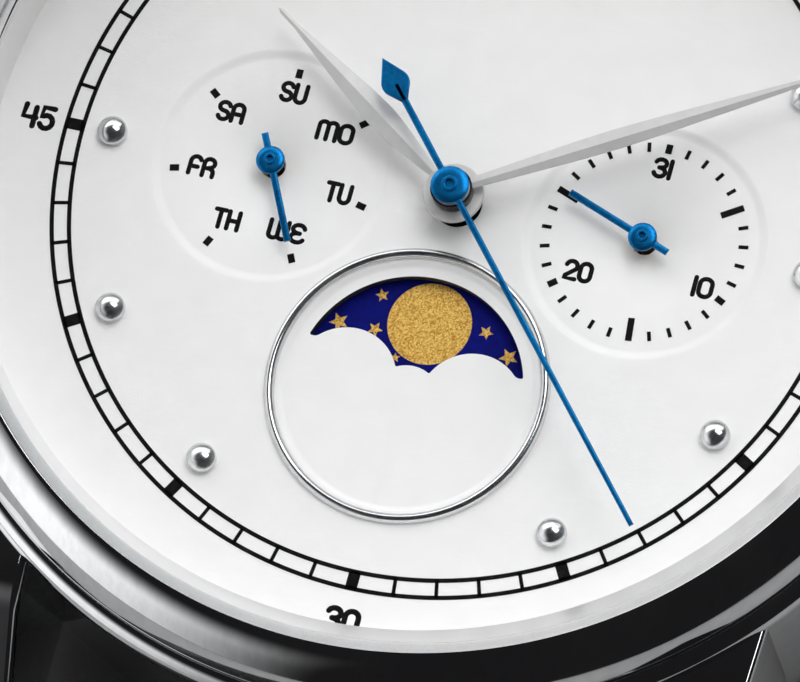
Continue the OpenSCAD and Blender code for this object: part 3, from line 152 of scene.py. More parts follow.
def turned(bm, profile, steps=STEPS, centre=(0, 0), closed=True):
    """Spins a profile of radius and height, as a lathe does. A third number rounds that corner."""
    corners = [bm.verts.new((centre[0] + p[0], centre[1], p[1])) for p in profile]
    pairs = list(zip(corners, corners[1:])) + ([(corners[-1], corners[0])] if closed else [])
    for a, b in pairs:
        bm.edges.new((a, b))
    start = set(bm.verts) - set(corners)
    for size in sorted({p[2] for p in profile if len(p) > 2}):
        soft = [v for v, p in zip(corners, profile) if len(p) > 2 and p[2] == size and v.is_valid]
        bmesh.ops.bevel(bm, geom=soft, offset=size, segments=8 if size > 0.2 else 4, profile=0.5,
                        affect="VERTICES", material=-1)
    line = [v for v in bm.verts if v not in start]
    edges = list({e for v in line for e in v.link_edges})
    bmesh.ops.spin(bm, geom=line + edges, cent=(*centre, 0), axis=(0, 0, 1), angle=2 * math.pi,
                   steps=steps, use_merge=True)
    made = [v for v in bm.verts if v not in start]
    bmesh.ops.remove_doubles(bm, verts=made, dist=1e-4)


def new_verts(made):
    """The vertices in what a bmesh operator says that it made."""
    return [v for v in made["geom"] if isinstance(v, bmesh.types.BMVert)]


def round_edges(bm, edges, width, steps):
    bmesh.ops.bevel(bm, geom=edges, offset=width, segments=steps, profile=0.5, affect="EDGES", material=-1,
                    clamp_overlap=True)


def join(bm, part, matrix=Matrix.Identity(4)):
    """Adds another bmesh, moved by matrix."""
    bmesh.ops.transform(part, matrix=matrix, verts=part.verts)
    mesh = bpy.data.meshes.new("part")
    part.to_mesh(mesh)
    part.free()
    bm.from_mesh(mesh)
    bpy.data.meshes.remove(mesh)


def placed(name, data):
    made = bpy.data.objects.new(name, data)
    bpy.context.scene.collection.objects.link(made)
    return made


def piece(name, bm, material, body, nodes=(), sharp=32):
    """Makes a piece of a bmesh in millimetres; it rides on a body and stands for its CAD nodes."""
    bmesh.ops.remove_doubles(bm, verts=bm.verts, dist=2e-5)
    bmesh.ops.recalc_face_normals(bm, faces=bm.faces)
    bmesh.ops.scale(bm, vec=(MM, MM, MM), verts=bm.verts)
    for face in bm.faces:
        face.smooth = True
    for edge in bm.edges:
        edge.smooth = edge.calc_face_angle(0) < math.radians(sharp)
    mesh = bpy.data.meshes.new(name)
    bm.to_mesh(mesh)
    bm.free()
    mesh.materials.append(material)
    made = placed(name, mesh)
    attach(made, body)
    if nodes:
        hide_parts(*nodes)
    if sharp > 5:
        flats = made.modifiers.new("flats_stay_flat", "WEIGHTED_NORMAL")
        flats.keep_sharp = True
    return made


# Mirror polish: sharp dark and light reflections, with only faint lines from the wheel
polished_steel = worked("polished_stainless_steel", "#eaebec", "#dcdde0", (0.035, 0.09), 0.35, 0.0004,
                        stretch=(1, 0.25, 1), Metallic=1)

band = bmesh.new()
turned(band, [(BACK_BORE_R, BACK_SEAT_Z), (BACK_SEAT_R, BACK_SEAT_Z), (BACK_SEAT_R, BACK_T),
              (CASE_R, BACK_T, CASE_EDGE_R),
              (CASE_R, LEDGE_Z, SHOULDER_R), (NECK_OUT_R, LEDGE_Z), (NECK_OUT_R, NECK_TOP),
              (NECK_IN_R, NECK_TOP), (NECK_IN_R, LEDGE_Z), (BORE_R, LEDGE_Z), (BORE_R, INNER_LIP_Z),
              (BACK_BORE_R, INNER_LIP_Z)])


def lug_outer_x(y):
    """Outer side of a lug, a long shallow arc in plan."""
    tip, root = Vector((LUG_GAP / 2 + 2.45, LUG_TIP_Y + 0.4)), Vector((LUG_GAP / 2 + 4.05, 12))
    d = root - tip
    centre = (tip + root) / 2 + Vector((d.y, -d.x)).normalized() * math.sqrt(LUG_SIDE_R ** 2 - d.length_squared / 4)
    return centre.x + math.sqrt(LUG_SIDE_R ** 2 - (y - centre.y) ** 2)


# Each lug starts as its side outline, is cut into upright strips and then drawn out to the outer
# side; its root ends inside the wall of the ring
root_in = math.sqrt(LUG_ROOT_R ** 2 - (LUG_GAP / 2) ** 2)
root_out = 12.2
first_cut = 19.3
bend = arc(LUG_BEND_Y, LUG_TOP_Z - LUG_BEND_R, LUG_BEND_R, 90, 90 - LUG_FALL, 10)
tip = arc(LUG_TIP_Y - LUG_TIP_R, LUG_FLOOR + LUG_TIP_R, LUG_TIP_R, 0, -90, 10)
side = [(root_in, LUG_TOP_Z), *bend, (LUG_TIP_Y, LUG_TIP_TOP), *tip, (root_in, LUG_FLOOR)]
lug = bmesh.new()
lug.faces.new([lug.verts.new((LUG_GAP / 2, y, z)) for y, z in side])
for i in range(6):
    bmesh.ops.bisect_plane(lug, geom=[*lug.verts, *lug.edges, *lug.faces], dist=1e-4,
                           plane_co=(0, first_cut + i, 0), plane_no=(0, 1, 0))
pushed = bmesh.ops.extrude_face_region(lug, geom=list(lug.faces))
for corner in new_verts(pushed):
    if corner.co.y < root_in + 0.01:
        corner.co.y = root_out
    corner.co.x = lug_outer_x(corner.co.y)
bmesh.ops.recalc_face_normals(lug, faces=lug.faces)
for inner, width, steps in ((True, 0.3, 2), (False, 0.2, 3)):
    rims = [e for e in lug.edges if len(e.link_faces) == 2 and max(v.co.y for v in e.verts) > root_in + 0.01
            and sorted(abs(f.normal.x) > 0.8 for f in e.link_faces) == [False, True]
            and (max(v.co.x for v in e.verts) < LUG_GAP / 2 + 0.01) == inner]
    round_edges(lug, rims, width, steps)
for mirror_x in (1, -1):
    for mirror_y in (1, -1):
        join(band, lug.copy(), Matrix.Diagonal((mirror_x, mirror_y, 1, 1)))
lug.free()
piece("middle_case", band, polished_steel, "case", ["mid_case"])

# Case back
# A snap-on steel back with a turned groove for the opening knife, its flat face brushed in circles
# on a lathe. A black rubber ring under its flange seals it.
BACK_FLANGE_R = 18.3
BACK_RIM_OUT_R = 16.82
BACK_RIM_IN_R = 16.32
BACK_RIM_TOP = 2.1
# Circular brushing: a soft sheen that fans out round the middle as the back is turned
brushed_steel = worked("circular_brushed_steel", "#c9cacc", "#a9abae", (0.2, 0.34), 0.06, 0.002,
                       about=(0, 0), Metallic=1)
back = bmesh.new()
groove = arc(BACK_FLANGE_R - 3.2, -0.85, 1.0, 122, 58, 8)
turned(back, [(0, 0), *[(r, max(z, 0)) for r, z in groove], (BACK_FLANGE_R - 1.1, 0, 0.08),
              (BACK_FLANGE_R - 0.3, 0.45, 0.08), (BACK_FLANGE_R, BACK_T, 0.05), (BACK_FLANGE_R, BACK_SEAT_Z),
              (BACK_RIM_OUT_R, BACK_SEAT_Z), (BACK_RIM_OUT_R, BACK_RIM_TOP), (BACK_RIM_IN_R, BACK_RIM_TOP),
              (BACK_RIM_IN_R, BACK_T), (0, BACK_T)], closed=False)
piece("snap_back", back, brushed_steel, "case", ["case_back"])


def dress(material, *nodes):
    """Gives CAD nodes that keep their own shape a finish."""
    for node in nodes:
        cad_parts[node].data.materials.clear()
        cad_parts[node].data.materials.append(material)


# Moulded rubber: dull black without a clear reflection
black_rubber = worked("nitrile_rubber", "#1d1d1e", "#121213", (0.55, 0.75), 0.12, 0.006)
dress(black_rubber, "case_back_gasket", "crown_gasket")

# Movement
# A quartz calibre in a black plastic holder: nickel-plated brass plate and bridge, brass wheels,
# green circuit board with chip and crystal can, copper coil on an iron core, and a silver button cell.
# Thin plating over straight graining: pale gold with long faint streaks
plated_brass = worked("plated_brass", "#d9c48c", "#c0a667", (0.22, 0.36), 0.08, 0.0015,
                      stretch=(1, 0.12, 1), Metallic=1)
# Turned brass: a deeper yellow and brighter than the plates
wheel_brass = worked("turned_wheel_brass", "#d8b866", "#bf9a45", (0.18, 0.3), 0.05, 0.001, Metallic=1)
# Moulded acetal: dark grey and softly matt
holder_plastic = worked("moulded_acetal_holder", "#2a2b2d", "#1c1d1f", (0.4, 0.6), 0.4, 0.006)
# Lacquer over glass weave: deep green, glossy and slightly uneven
board_lacquer = worked("circuit_board_lacquer", "#1f6a3a", "#0f4424", (0.25, 0.4), 0.5, 0.008)
# Enamelled wire: orange brown, its turns drawn coarser than real ones so that they show
copper_winding = worked("enamelled_copper_winding", "#b4622c", "#7d3a16", (0.2, 0.35), 0.1, 0.02,
                        stretch=(0.2, 0.2, 1), Metallic=1)
# Ground iron: dull grey with straight lines
soft_iron = worked("ground_soft_iron", "#8d8e90", "#6b6c6f", (0.3, 0.5), 0.06, 0.003,
                   stretch=(1, 0.1, 1), Metallic=1)
# Sintered and ground magnet: darker grey and hardly shiny
ground_magnet = worked("ground_magnet", "#55565a", "#3b3c40", (0.35, 0.55), 0.1, 0.004, Metallic=1)
# Straight brushing: light grey with short bright streaks one way
straight_brushed = worked("straight_brushed_steel", "#c6c7ca", "#a4a6aa", (0.2, 0.36), 0.05, 0.0015,
                          stretch=(0.06, 1, 1), Metallic=1)
dress(plated_brass, "main_plate", "train_bridge", "cell_clamp")
dress(holder_plastic, "movement_holder", "chip")
dress(board_lacquer, "circuit_board")
dress(copper_winding, "coil")
dress(soft_iron, "coil_core", "stator")
dress(ground_magnet, "rotor")
dress(straight_brushed, "button_cell", "calendar_cover", "calendar_jumpers", "setting_lever", "stem",
      "sliding_pinion", "crown_tube", "spring_bars", "buckle_bar")
dress(polished_steel, "movement_screws", "quartz_can")
dress(wheel_brass, "middle_wheel", "seconds_wheel", "third_wheel", "minute_wheel", "day_drive_wheel",
      "date_drive_wheel", "moon_drive_wheel", "day_star", "date_star")
# Dark steel: nearly black, partly a painted shade for the pipes that sit in the shadow of the hands, with a narrow
# bright highlight
shaded_dark_pipe = worked("dark_steel_pipe_painted_shade", "#3a3b3e", "#1d1e20", (0.12, 0.25), 0.1, 0.001, Metallic=1)
dress(shaded_dark_pipe, "center_wheel", "hour_wheel")

# Moon disc
# A brass disc under the dial, lacquered deep blue and printed with two gold moons and small stars;
# the moons are struck with coarse gold powder, so they glitter.
FACE_Z = 6.5
MOON_Y = -7.33
DISC_TOP = 5.92
MOON_R = 1.595
MOON_ORBIT = 2.681
MOON_TURN = 88.6
INK_T = 0.012
STAR_POINTS = 5
STAR_INNER = 0.45
# Matt lacquer: a blue so deep that the gold stands out
moon_blue = worked("blue_disc_lacquer", "#08127c", "#050b5c", (0.5, 0.6), 0.3, 0.0005,
                   Specular_IOR_Level=0.05)
dress(moon_blue, "moon_disc")
# Coarse powder: each flake is tipped by a bump of its own, and the flakes are coloured from deep to pale gold, partly
# real tone and partly painted glints, so the moons glitter in grains
gold = empty_material("struck_gold_powder")
spot = add(gold, "TexCoord").outputs["Object"]
flakes = add(gold, "TexVoronoi", {"Vector": spot, "Scale": 1 / (0.055 * MM)})
lumps = add(gold, "TexNoise", {"Vector": spot, "Scale": 1 / (0.09 * MM), "Detail": 4})
tone = add(gold, "Mix", {"Factor": 0.5, "A": flakes.outputs["Color"], "B": lumps.outputs["Color"]}, data_type="RGBA")
bright = add(gold, "RGBToBW", {"Color": tone.outputs["Result"]})
ramp = add(gold, "MapRange", {"Value": bright.outputs[0], "From Min": 0.3, "From Max": 0.7})
flake_tone_and_glint = add(gold, "Mix", {"Factor": ramp.outputs[0], "A": linear("#b47c1c"), "B": linear("#f8d272")}, data_type="RGBA")
relief = add(gold, "Bump", {"Height": bright.outputs[0], "Distance": 0.02 * MM, "Strength": 0.8})
gold_shader = add(gold, "BsdfPrincipled", {"Base Color": flake_tone_and_glint.outputs["Result"], "Roughness": 0.42,
                                           "Metallic": 0.55, "Normal": relief.outputs[0]})
add(gold, "OutputMaterial", {"Surface": gold_shader.outputs[0]})


def thicken(part, height):
    """A flat bmesh at z 0 is given a thickness."""
    grown = bmesh.ops.extrude_face_region(part, geom=list(part.faces))
    bmesh.ops.translate(part, vec=(0, 0, height), verts=new_verts(grown))


def raised(bm, part, z, height):
    """A flat bmesh is thickened and put on a surface at height z."""
    thicken(part, height)
    join(bm, part, Matrix.Translation((0, 0, z)))


gilding = bmesh.new()
for turn in (MOON_TURN, MOON_TURN + 180):
    at = Matrix.Translation((MOON_ORBIT * math.cos(math.radians(turn)),
                             MOON_Y + MOON_ORBIT * math.sin(math.radians(turn)), 0))
    moon = bmesh.new()
    bmesh.ops.create_circle(moon, cap_ends=True, segments=96, radius=MOON_R, matrix=at)
    raised(gilding, moon, DISC_TOP, INK_T)
# Distance from the disc's axis in mm, direction in degrees and size of each star, on half the disc
stars = [(3.934, 120.0, 0.27), (3.882, 148.1, 0.38), (2.793, 132.6, 0.30), (3.583, 51.6, 0.286),
         (3.882, 31.7, 0.376), (1.425, 127.2, 0.2)]
for half in (0, 180):
    for reach, direction, size in stars:
        angle = math.radians(direction + half)
        at = Matrix.Translation((reach * math.cos(angle), MOON_Y + reach * math.sin(angle), 0))
        star = bmesh.new()
        bmesh.ops.create_circle(star, cap_ends=True, segments=2 * STAR_POINTS, radius=size)
        for i, corner in enumerate(star.verts):
            corner.co *= STAR_INNER if i % 2 else 1
        bmesh.ops.rotate(star, cent=(0, 0, 0), matrix=Matrix.Rotation(math.radians(8 * direction), 3, "Z"),
                         verts=star.verts)
        bmesh.ops.transform(star, matrix=at, verts=star.verts)
        raised(gilding, star, DISC_TOP, INK_T)
piece("gold_moons_and_stars", gilding, gold, "moon")

# Dial
# A thin brass plate, silvered white with a very fine horizontal grain. The calendar subdials are
# stamped in as shallow dishes, and the moon opening has softly rolled edges.
DIAL_R = 18.76
DIAL_T = 0.5
SUB_X = 7.24
SUB_R = 4.66
SUB_SLOPE = 0.44
SUB_DEPTH = 0.12
WELL_R = 4.945
ROLL = 0.24
HAND_HOLE_R = 0.92
SUB_HOLE_R = 0.46
BROKEN_EDGE = 0.04
# Silvered lacquer: an even white, its grain only just seen; the wall of the opening is painted near black as a
# painted shade
silvered = worked("silvered_dial_lacquer", "#f3f3f3", "#efefef", (0.45, 0.55), 0.08, 0.0005,
                  stretch=(0.2, 1, 1), Specular_IOR_Level=0.3)
opening_wall_shade = worked("painted_shade_opening_wall", "#2b2823", "#191714", (0.5, 0.65), 0.1, 0.003)
dial = bmesh.new()
dial_low = FACE_Z - DIAL_T
sunk_z = FACE_Z - SUB_DEPTH
turned(dial, [(DIAL_R, dial_low), (DIAL_R, FACE_Z - BROKEN_EDGE), (DIAL_R - BROKEN_EDGE, FACE_Z)], closed=False)
turned(dial, [(HAND_HOLE_R + BROKEN_EDGE, FACE_Z), (HAND_HOLE_R, FACE_Z - BROKEN_EDGE), (HAND_HOLE_R, dial_low)], 64,
       closed=False)
for x in (-SUB_X, SUB_X):
    slope = [(SUB_R - SUB_SLOPE * t / 12, FACE_Z - SUB_DEPTH * ease(t / 12)) for t in range(13)]
    turned(dial, [*slope, (SUB_HOLE_R + BROKEN_EDGE, sunk_z), (SUB_HOLE_R, sunk_z - BROKEN_EDGE),
                  (SUB_HOLE_R, dial_low)], 160, (x, 0), closed=False)
well = [(WELL_R - 0.3 * t / 6, FACE_Z - SUB_DEPTH * ease(t / 6)) for t in range(7)]
turned(dial, well, 160, (0, MOON_Y), closed=False)

# The opening: an upper arc that the humps of three circles cut off below, as on a moon display
ARC_R = 4.33
HUMP = (2.44, -0.15, 1.96)
MID_HUMP = (0, -0.53, 1.36)
BLUNT_Y = 1.2


def meet(a, b, upper):
    """One of the points where two circles of x, y, radius meet."""
    d = math.hypot(b[0] - a[0], b[1] - a[1])
    along = (a[2] ** 2 - b[2] ** 2 + d * d) / (2 * d)
    off = math.sqrt(a[2] ** 2 - along ** 2) * (1 if upper else -1)
    ux, uy = (b[0] - a[0]) / d, (b[1] - a[1]) / d
    return a[0] + along * ux - off * uy, a[1] + along * uy + off * ux


def angle_on(circle, point):
    return math.degrees(math.atan2(point[1] - circle[1], point[0] - circle[0]))


notch = meet(HUMP, MID_HUMP, False)
left_hump, left_notch = (-HUMP[0], HUMP[1], HUMP[2]), (-notch[0], notch[1])
arc_end = (math.sqrt(ARC_R ** 2 - BLUNT_Y ** 2), BLUNT_Y)
hump_end = (HUMP[0] + math.sqrt(HUMP[2] ** 2 - (BLUNT_Y - HUMP[1]) ** 2), BLUNT_Y)
reach = angle_on((0, 0), arc_end)
outline = arc(0, 0, ARC_R, reach, 180 - reach, 64)
first = len(outline)
outline += arc(*left_hump, angle_on(left_hump, (-hump_end[0], BLUNT_Y)), angle_on(left_hump, left_notch), 24)
outline += arc(*MID_HUMP, angle_on(MID_HUMP, left_notch), angle_on(MID_HUMP, notch), 10)[1:]
outline += arc(*HUMP, angle_on(HUMP, notch), angle_on(HUMP, hump_end), 24)[1:]
edge = [dial.verts.new((x, MOON_Y + y, sunk_z)) for x, y in outline]
before = set(dial.edges)
for a, b in zip(edge, edge[1:] + edge[:1]):
    dial.edges.new((a, b))
tips = [edge[0], edge[first - 1], edge[first], edge[-1]]
cusps = [edge[first + 24], edge[first + 34]]
for corners, radius in ((tips, 0.1), (cusps, 0.06)):
    bmesh.ops.bevel(dial, geom=corners, offset=radius, segments=4, profile=0.5, affect="VERTICES", material=-1)
window = [e for e in dial.edges if e not in before]
for level in (FACE_Z, sunk_z):
    rims = [e for e in dial.edges if len(e.link_faces) < 2 and all(abs(v.co.z - level) < 1e-4 for v in e.verts)]
    bmesh.ops.triangle_fill(dial, use_beauty=True, use_dissolve=False, edges=rims)
wall = bmesh.ops.extrude_edge_only(dial, edges=window)
bmesh.ops.translate(dial, vec=(0, 0, dial_low - sunk_z), verts=new_verts(wall))
rims = [e for e in dial.edges if len(e.link_faces) < 2 and all(abs(v.co.z - dial_low) < 1e-4 for v in e.verts)]
bmesh.ops.triangle_fill(dial, use_beauty=True, use_dissolve=False, edges=rims)
round_edges(dial, [e for e in window if e.is_valid], ROLL, 5)
plate = piece("dial_plate", dial, silvered, "case", ["dial"], sharp=50)
# The upright wall of the moon opening takes the near-black painted shade
plate.data.materials.append(opening_wall_shade)
for face in plate.data.polygons:
    x, y, z = face.center / MM
    if abs(face.normal.z) < 0.4 and dial_low < z < sunk_z - 0.1 and math.hypot(x, y - MOON_Y) < WELL_R - 0.3:
        face.material_index = 1

# Dial prints
# Black ink put on with a silicone pad: a railway minute track, the numerals outside it, the day
# letters and the date ticks. The ink stands a little proud and is slightly matt.
TRACK_R = 15.05
TRACK_HALF = 0.33
LINE_W = 0.165
TICK_W = 0.14
BOLD_TICK_W = 0.45
# Dense ink: flat black with next to no gloss, so that thin lines stay clear
black_ink = worked("pad_printed_ink", "#0a0a0a", "#040404", (0.5, 0.6), 0.05, 0.003, Specular_IOR_Level=0.1)
prints = bmesh.new()
for r in (TRACK_R - TRACK_HALF, TRACK_R + TRACK_HALF):
    turned(prints, [(r - LINE_W / 2, FACE_Z), (r - LINE_W / 2, FACE_Z + INK_T), (r + LINE_W / 2, FACE_Z + INK_T),
                    (r + LINE_W / 2, FACE_Z)])


def block(bm, centre, direction, reach, length, width, z):
    """A printed bar: reach from the centre to its middle, direction clockwise from twelve."""
    a = math.radians(90 - direction)
    place = Matrix.Translation((centre[0] + reach * math.cos(a), centre[1] + reach * math.sin(a), z + INK_T / 2))
    shape = place @ Matrix.Rotation(a, 4, "Z") @ Matrix.Diagonal((length, width, INK_T, 1))
    bmesh.ops.create_cube(bm, size=1, matrix=shape)


for minute in range(60):
    width = TICK_W if minute % 5 else BOLD_TICK_W
    block(prints, (0, 0), 6 * minute, TRACK_R, 2 * TRACK_HALF, width, FACE_Z)
DAY_AT, DATE_AT = (-7.24, 0.0), (7.203, 0.045)
for day in range(7):
    block(prints, DAY_AT, 360 / 7 * day, 3.76, 0.36, 0.256, sunk_z)
for date in range(1, 32):
    long_mark, thick = date in (5, 15, 25), date in (5, 10, 15, 20, 25, 31)
    length = 0.9 if long_mark else 0.37
    block(prints, DATE_AT, 360 / 31 * date, 3.91 - length / 2, length, 0.25 if thick else 0.143, sunk_z)


def bow(cx, cy, rx, ry, start, end, steps=10):
    return [(cx + rx * x, cy + ry * y) for x, y in arc(0, 0, 1, start, end, steps)]


LETTER_GAP = 0.34
LETTER_PEN, NUMERAL_PEN = 0.18, 0.22
# Each sign as pen strokes in a box one unit wide and high
ROUND_TOP = [(0, 0), *bow(0.5, 0.72, 0.5, 0.28, 180, 0), (1, 0)]
OVAL = [*bow(0.5, 0.72, 0.5, 0.28, 0, 180), *bow(0.5, 0.28, 0.5, 0.28, 180, 360), (1, 0.72)]
SIGNS = {
    "S": [[*bow(0.5, 0.75, 0.5, 0.25, 15, 270), *bow(0.5, 0.25, 0.5, 0.25, 90, -165)]],
    "U": [[(0, 1), *bow(0.5, 0.28, 0.5, 0.28, 180, 360), (1, 1)]],
    "M": [[(0, 0), *bow(0.25, 0.8, 0.25, 0.2, 180, 0), (0.5, 0)], [*bow(0.75, 0.8, 0.25, 0.2, 180, 0), (1, 0)]],
    "O": [OVAL],
    "T": [[(0, 1), (1, 1)], [(0.5, 1), (0.5, 0)]],
    "W": [[(0, 1), *bow(0.25, 0.2, 0.25, 0.2, 180, 360), (0.5, 1)], [*bow(0.75, 0.2, 0.25, 0.2, 180, 360), (1, 1)]],
    "E": [[*bow(0.55, 0.76, 0.5, 0.24, 10, 270), (0.7, 0.52)], [*bow(0.55, 0.26, 0.55, 0.26, 90, 340)]],
    "H": [[(0, 1), (0, 0)], [(1, 1), (1, 0)], [(0, 0.48), (1, 0.48)]],
    "F": [[(0, 0), *bow(0.5, 0.72, 0.5, 0.28, 180, 25)], [(0, 0.42), (0.75, 0.42)]],
    "R": [[(0, 0), *bow(0.5, 0.74, 0.5, 0.26, 180, -50), (0.35, 0.45)],
          [(0.45, 0.46), *bow(0.55, 0.2, 0.45, 0.25, 80, 0), (1, 0)]],
    "A": [ROUND_TOP, [(0, 0.42), (1, 0.42)]],
    "0": [OVAL],
    "1": [[(0.5, 1), (0.5, 0)]],
    "2": [[*bow(0.5, 0.72, 0.5, 0.28, 170, -30), (0.05, 0.14), (0, 0), (1, 0)]],
    "3": [[*bow(0.5, 0.76, 0.48, 0.24, 165, -90), (0.4, 0.52)], [*bow(0.5, 0.26, 0.5, 0.26, 90, -165)]],
    "4": [[(0.08, 1), (0, 0.42), (1, 0.42)], [(0.88, 0.92), (0.88, 0)]],
    "5": [[(0.95, 1), (0.12, 1), (0.06, 0.55), *bow(0.5, 0.32, 0.5, 0.32, 125, -155)]],
    "6": [[(0.75, 1), *bow(0.5, 0.3, 0.5, 0.3, 150, 510)]],
}


def lettered(bm, text, centre, width, height, pen, z):
    """Writes a word with a round pen inside a box of that width and height."""
    narrow = {"1": 0.12}
    wide = {"M": 1.5, "W": 1.5}
    shares = [narrow.get(c, wide.get(c, 1)) for c in text]
    unit = (width - pen) / (sum(shares) + LETTER_GAP * (len(text) - 1))
    x = centre[0] - (width - pen) / 2
    curve = bpy.data.curves.new("strokes", "CURVE")
    curve.dimensions = "3D"
    curve.bevel_depth = pen / 2
    curve.bevel_resolution = 2
    ends = []
    for character, share in zip(text, shares):
        for stroke in SIGNS[character]:
            line = [(x + px * share * unit, centre[1] + (py - 0.5) * (height - pen)) for px, py in stroke]
            spline = curve.splines.new("POLY")
            spline.points.add(len(line) - 1)
            for point, (px, py) in zip(spline.points, line):
                point.co = (px, py, 0, 1)
            ends += [line[0], line[-1]]
        x += (share + LETTER_GAP) * unit
    pen_line = bpy.data.objects.new("strokes", curve)
    mesh = bpy.data.meshes.new_from_object(pen_line)
    part = bmesh.new()
    part.from_mesh(mesh)
    bpy.data.objects.remove(pen_line)
    bpy.data.curves.remove(curve)
    bpy.data.meshes.remove(mesh)
    for px, py in ends:
        bmesh.ops.create_uvsphere(part, u_segments=10, v_segments=6, radius=pen / 2,
                                  matrix=Matrix.Translation((px, py, 0)))
    join(bm, part, Matrix.Translation((0, 0, z)) @ Matrix.Diagonal((1, 1, 2 * INK_T / pen, 1)))


# Each word with the middle of its box, the box's width and height in mm
words = [("SU", (-7.239, 2.987), 1.11, 0.87), ("MO", (-5.29, 1.79), 1.49, 0.87), ("TU", (-4.545, -0.52), 1.084, 0.87),
         ("WE", (-6.07, -2.394), 1.49, 0.87), ("TH", (-8.413, -2.416), 1.114, 0.87),
         ("FR", (-9.888, -0.572), 1.11, 0.87), ("SA", (-9.384, 1.753), 1.13, 0.87),
         ("31", (7.164, 2.987), 0.81, 0.86), ("10", (9.79, -1.234), 0.86, 0.88), ("20", (5.087, -1.595), 1.144, 0.87)]
for text, centre, width, height in words:
    lettered(prints, text, centre, width, height, LETTER_PEN, sunk_z)
for text, centre in (("45", (-16.51, 0)), ("15", (16.51, 0)), ("30", (0, -16.63)), ("60", (0, 16.63))):
    lettered(prints, text, centre, 1.0 if text == "15" else 1.4, 1.04, NUMERAL_PEN, FACE_Z)
piece("dial_prints", prints, black_ink, "case")

# Hour markers and moon ring
# Small polished steel domes sit on the dial at each hour but six, and a polished half-round wire
# ring frames the moon display.
MARKER_R = 0.56
MARKER_H = 0.5
MARKER_DOME_R = 0.74
MARKER_CIRCLE = 13.55
RING_IN, RING_OUT, RING_H = 4.985, 5.385, 0.24
# Barrel-polished steel: bright, its reflections a little soft
bright_steel = worked("bright_polished_steel", "#e4e5e6", "#d4d5d7", (0.12, 0.2), 0.2, 0.0002, Metallic=1)
markers = bmesh.new()
for hour in range(12):
    if hour == 6:
        continue
    a = math.radians(90 - 30 * hour)
    foot = math.degrees(math.acos((MARKER_R - 0.02) / MARKER_DOME_R))
    dome = arc(0, FACE_Z + MARKER_H - MARKER_DOME_R, MARKER_DOME_R, 90, foot, 20)
    turned(markers, [(0, dome[0][1]), *dome[1:], (MARKER_R, dome[-1][1] - 0.04), (MARKER_R, FACE_Z), (0, FACE_Z)], 48,
           (MARKER_CIRCLE * math.cos(a), MARKER_CIRCLE * math.sin(a)), closed=False)
piece("domed_hour_markers", markers, bright_steel, "case", ["hour_markers"], sharp=60)
ring = bmesh.new()
half_w = (RING_OUT - RING_IN) / 2
crown = [((RING_IN + RING_OUT) / 2 + half_w * c, FACE_Z + RING_H * s) for c, s in arc(0, 0, 1, 180, 0, 18)]
turned(ring, crown, 256, (0, MOON_Y))
piece("moon_display_ring", ring, bright_steel, "case", ["moon_ring"], sharp=60)

# Flange ring
# A plain white ring stands between the dial's rim and the crystal's seat and hides the case wall.
VIEW_R = 18.06
flange = bmesh.new()
turned(flange, [(VIEW_R, FACE_Z), (VIEW_R, LEDGE_Z), (DIAL_R, LEDGE_Z), (DIAL_R, FACE_Z)])
piece("flange_ring", flange, silvered, "case", ["rehaut"])

# Hour and minute hands
# Leaf hands pressed from steel with a sharp ridge down the middle, plated matt silver, on a round
# polished hub; the minute hand's pipe is painted near black, partly as painted shade.
HAND_T = 0.2
EDGE_T = 0.07
# Fine blasted plating: each facet shows as one even grey, lighter or darker as it faces the light
satin_silver = worked("matt_silver_plating", "#cdcdcd", "#c4c4c4", (0.5, 0.6), 0.3, 0.0002, Metallic=0.35)


def leaf_half(s, peak_s, peak, k_in, k_out, soft, tip):
    """Half width at the distance s from the axis: two straight tapers that meet in a soft peak."""
    k = k_in if s < peak_s else k_out
    return max(peak - k * (math.sqrt((s - peak_s) ** 2 + soft ** 2) - soft), tip)


def aim(hand, centre, z, direction):
    """Turns a hand to its direction, clockwise from twelve, and puts it on its axis."""
    bmesh.ops.transform(hand, verts=hand.verts, matrix=Matrix.Translation((*centre, z))
                        @ Matrix.Rotation(math.radians(-direction), 4, "Z"))


def leaf_hand(name, node, body, length, hub_r, bore_r, z, direction, ridge_off, leaf):
    blade = bmesh.new()
    rows = 60
    bmesh.ops.create_grid(blade, x_segments=2, y_segments=rows, size=1)
    start, tip = 0.55, leaf[-1]
    for v in blade.verts:
        s = start + (length - start) * (v.co.y + 1) / 2
        half = leaf_half(s, *leaf)
        if s > length - tip:
            half = math.sqrt(max(tip ** 2 - (s - length + tip) ** 2, 0)) + 0.004
        ridge = abs(v.co.x) < 0.1
        height = EDGE_T + (HAND_T - EDGE_T) * min(1, half / leaf[1]) if ridge else EDGE_T
        v.co = (ridge_off * min(1, half / leaf[1]) if ridge else v.co.x * half, s, height)
    grown = bmesh.ops.extrude_face_region(blade, geom=list(blade.faces))
    for v in new_verts(grown):
        v.co.z = 0
    turned(blade, [(bore_r, 0), (bore_r, HAND_T + 0.03), (hub_r, HAND_T + 0.03, 0.05), (hub_r, 0, 0.03),
                   (bore_r + 0.2, 0), (bore_r + 0.2, -0.25), (bore_r, -0.25)], 96)
    aim(blade, (0, 0), z, direction)
    return piece(name, blade, satin_silver, body, [node], sharp=4)


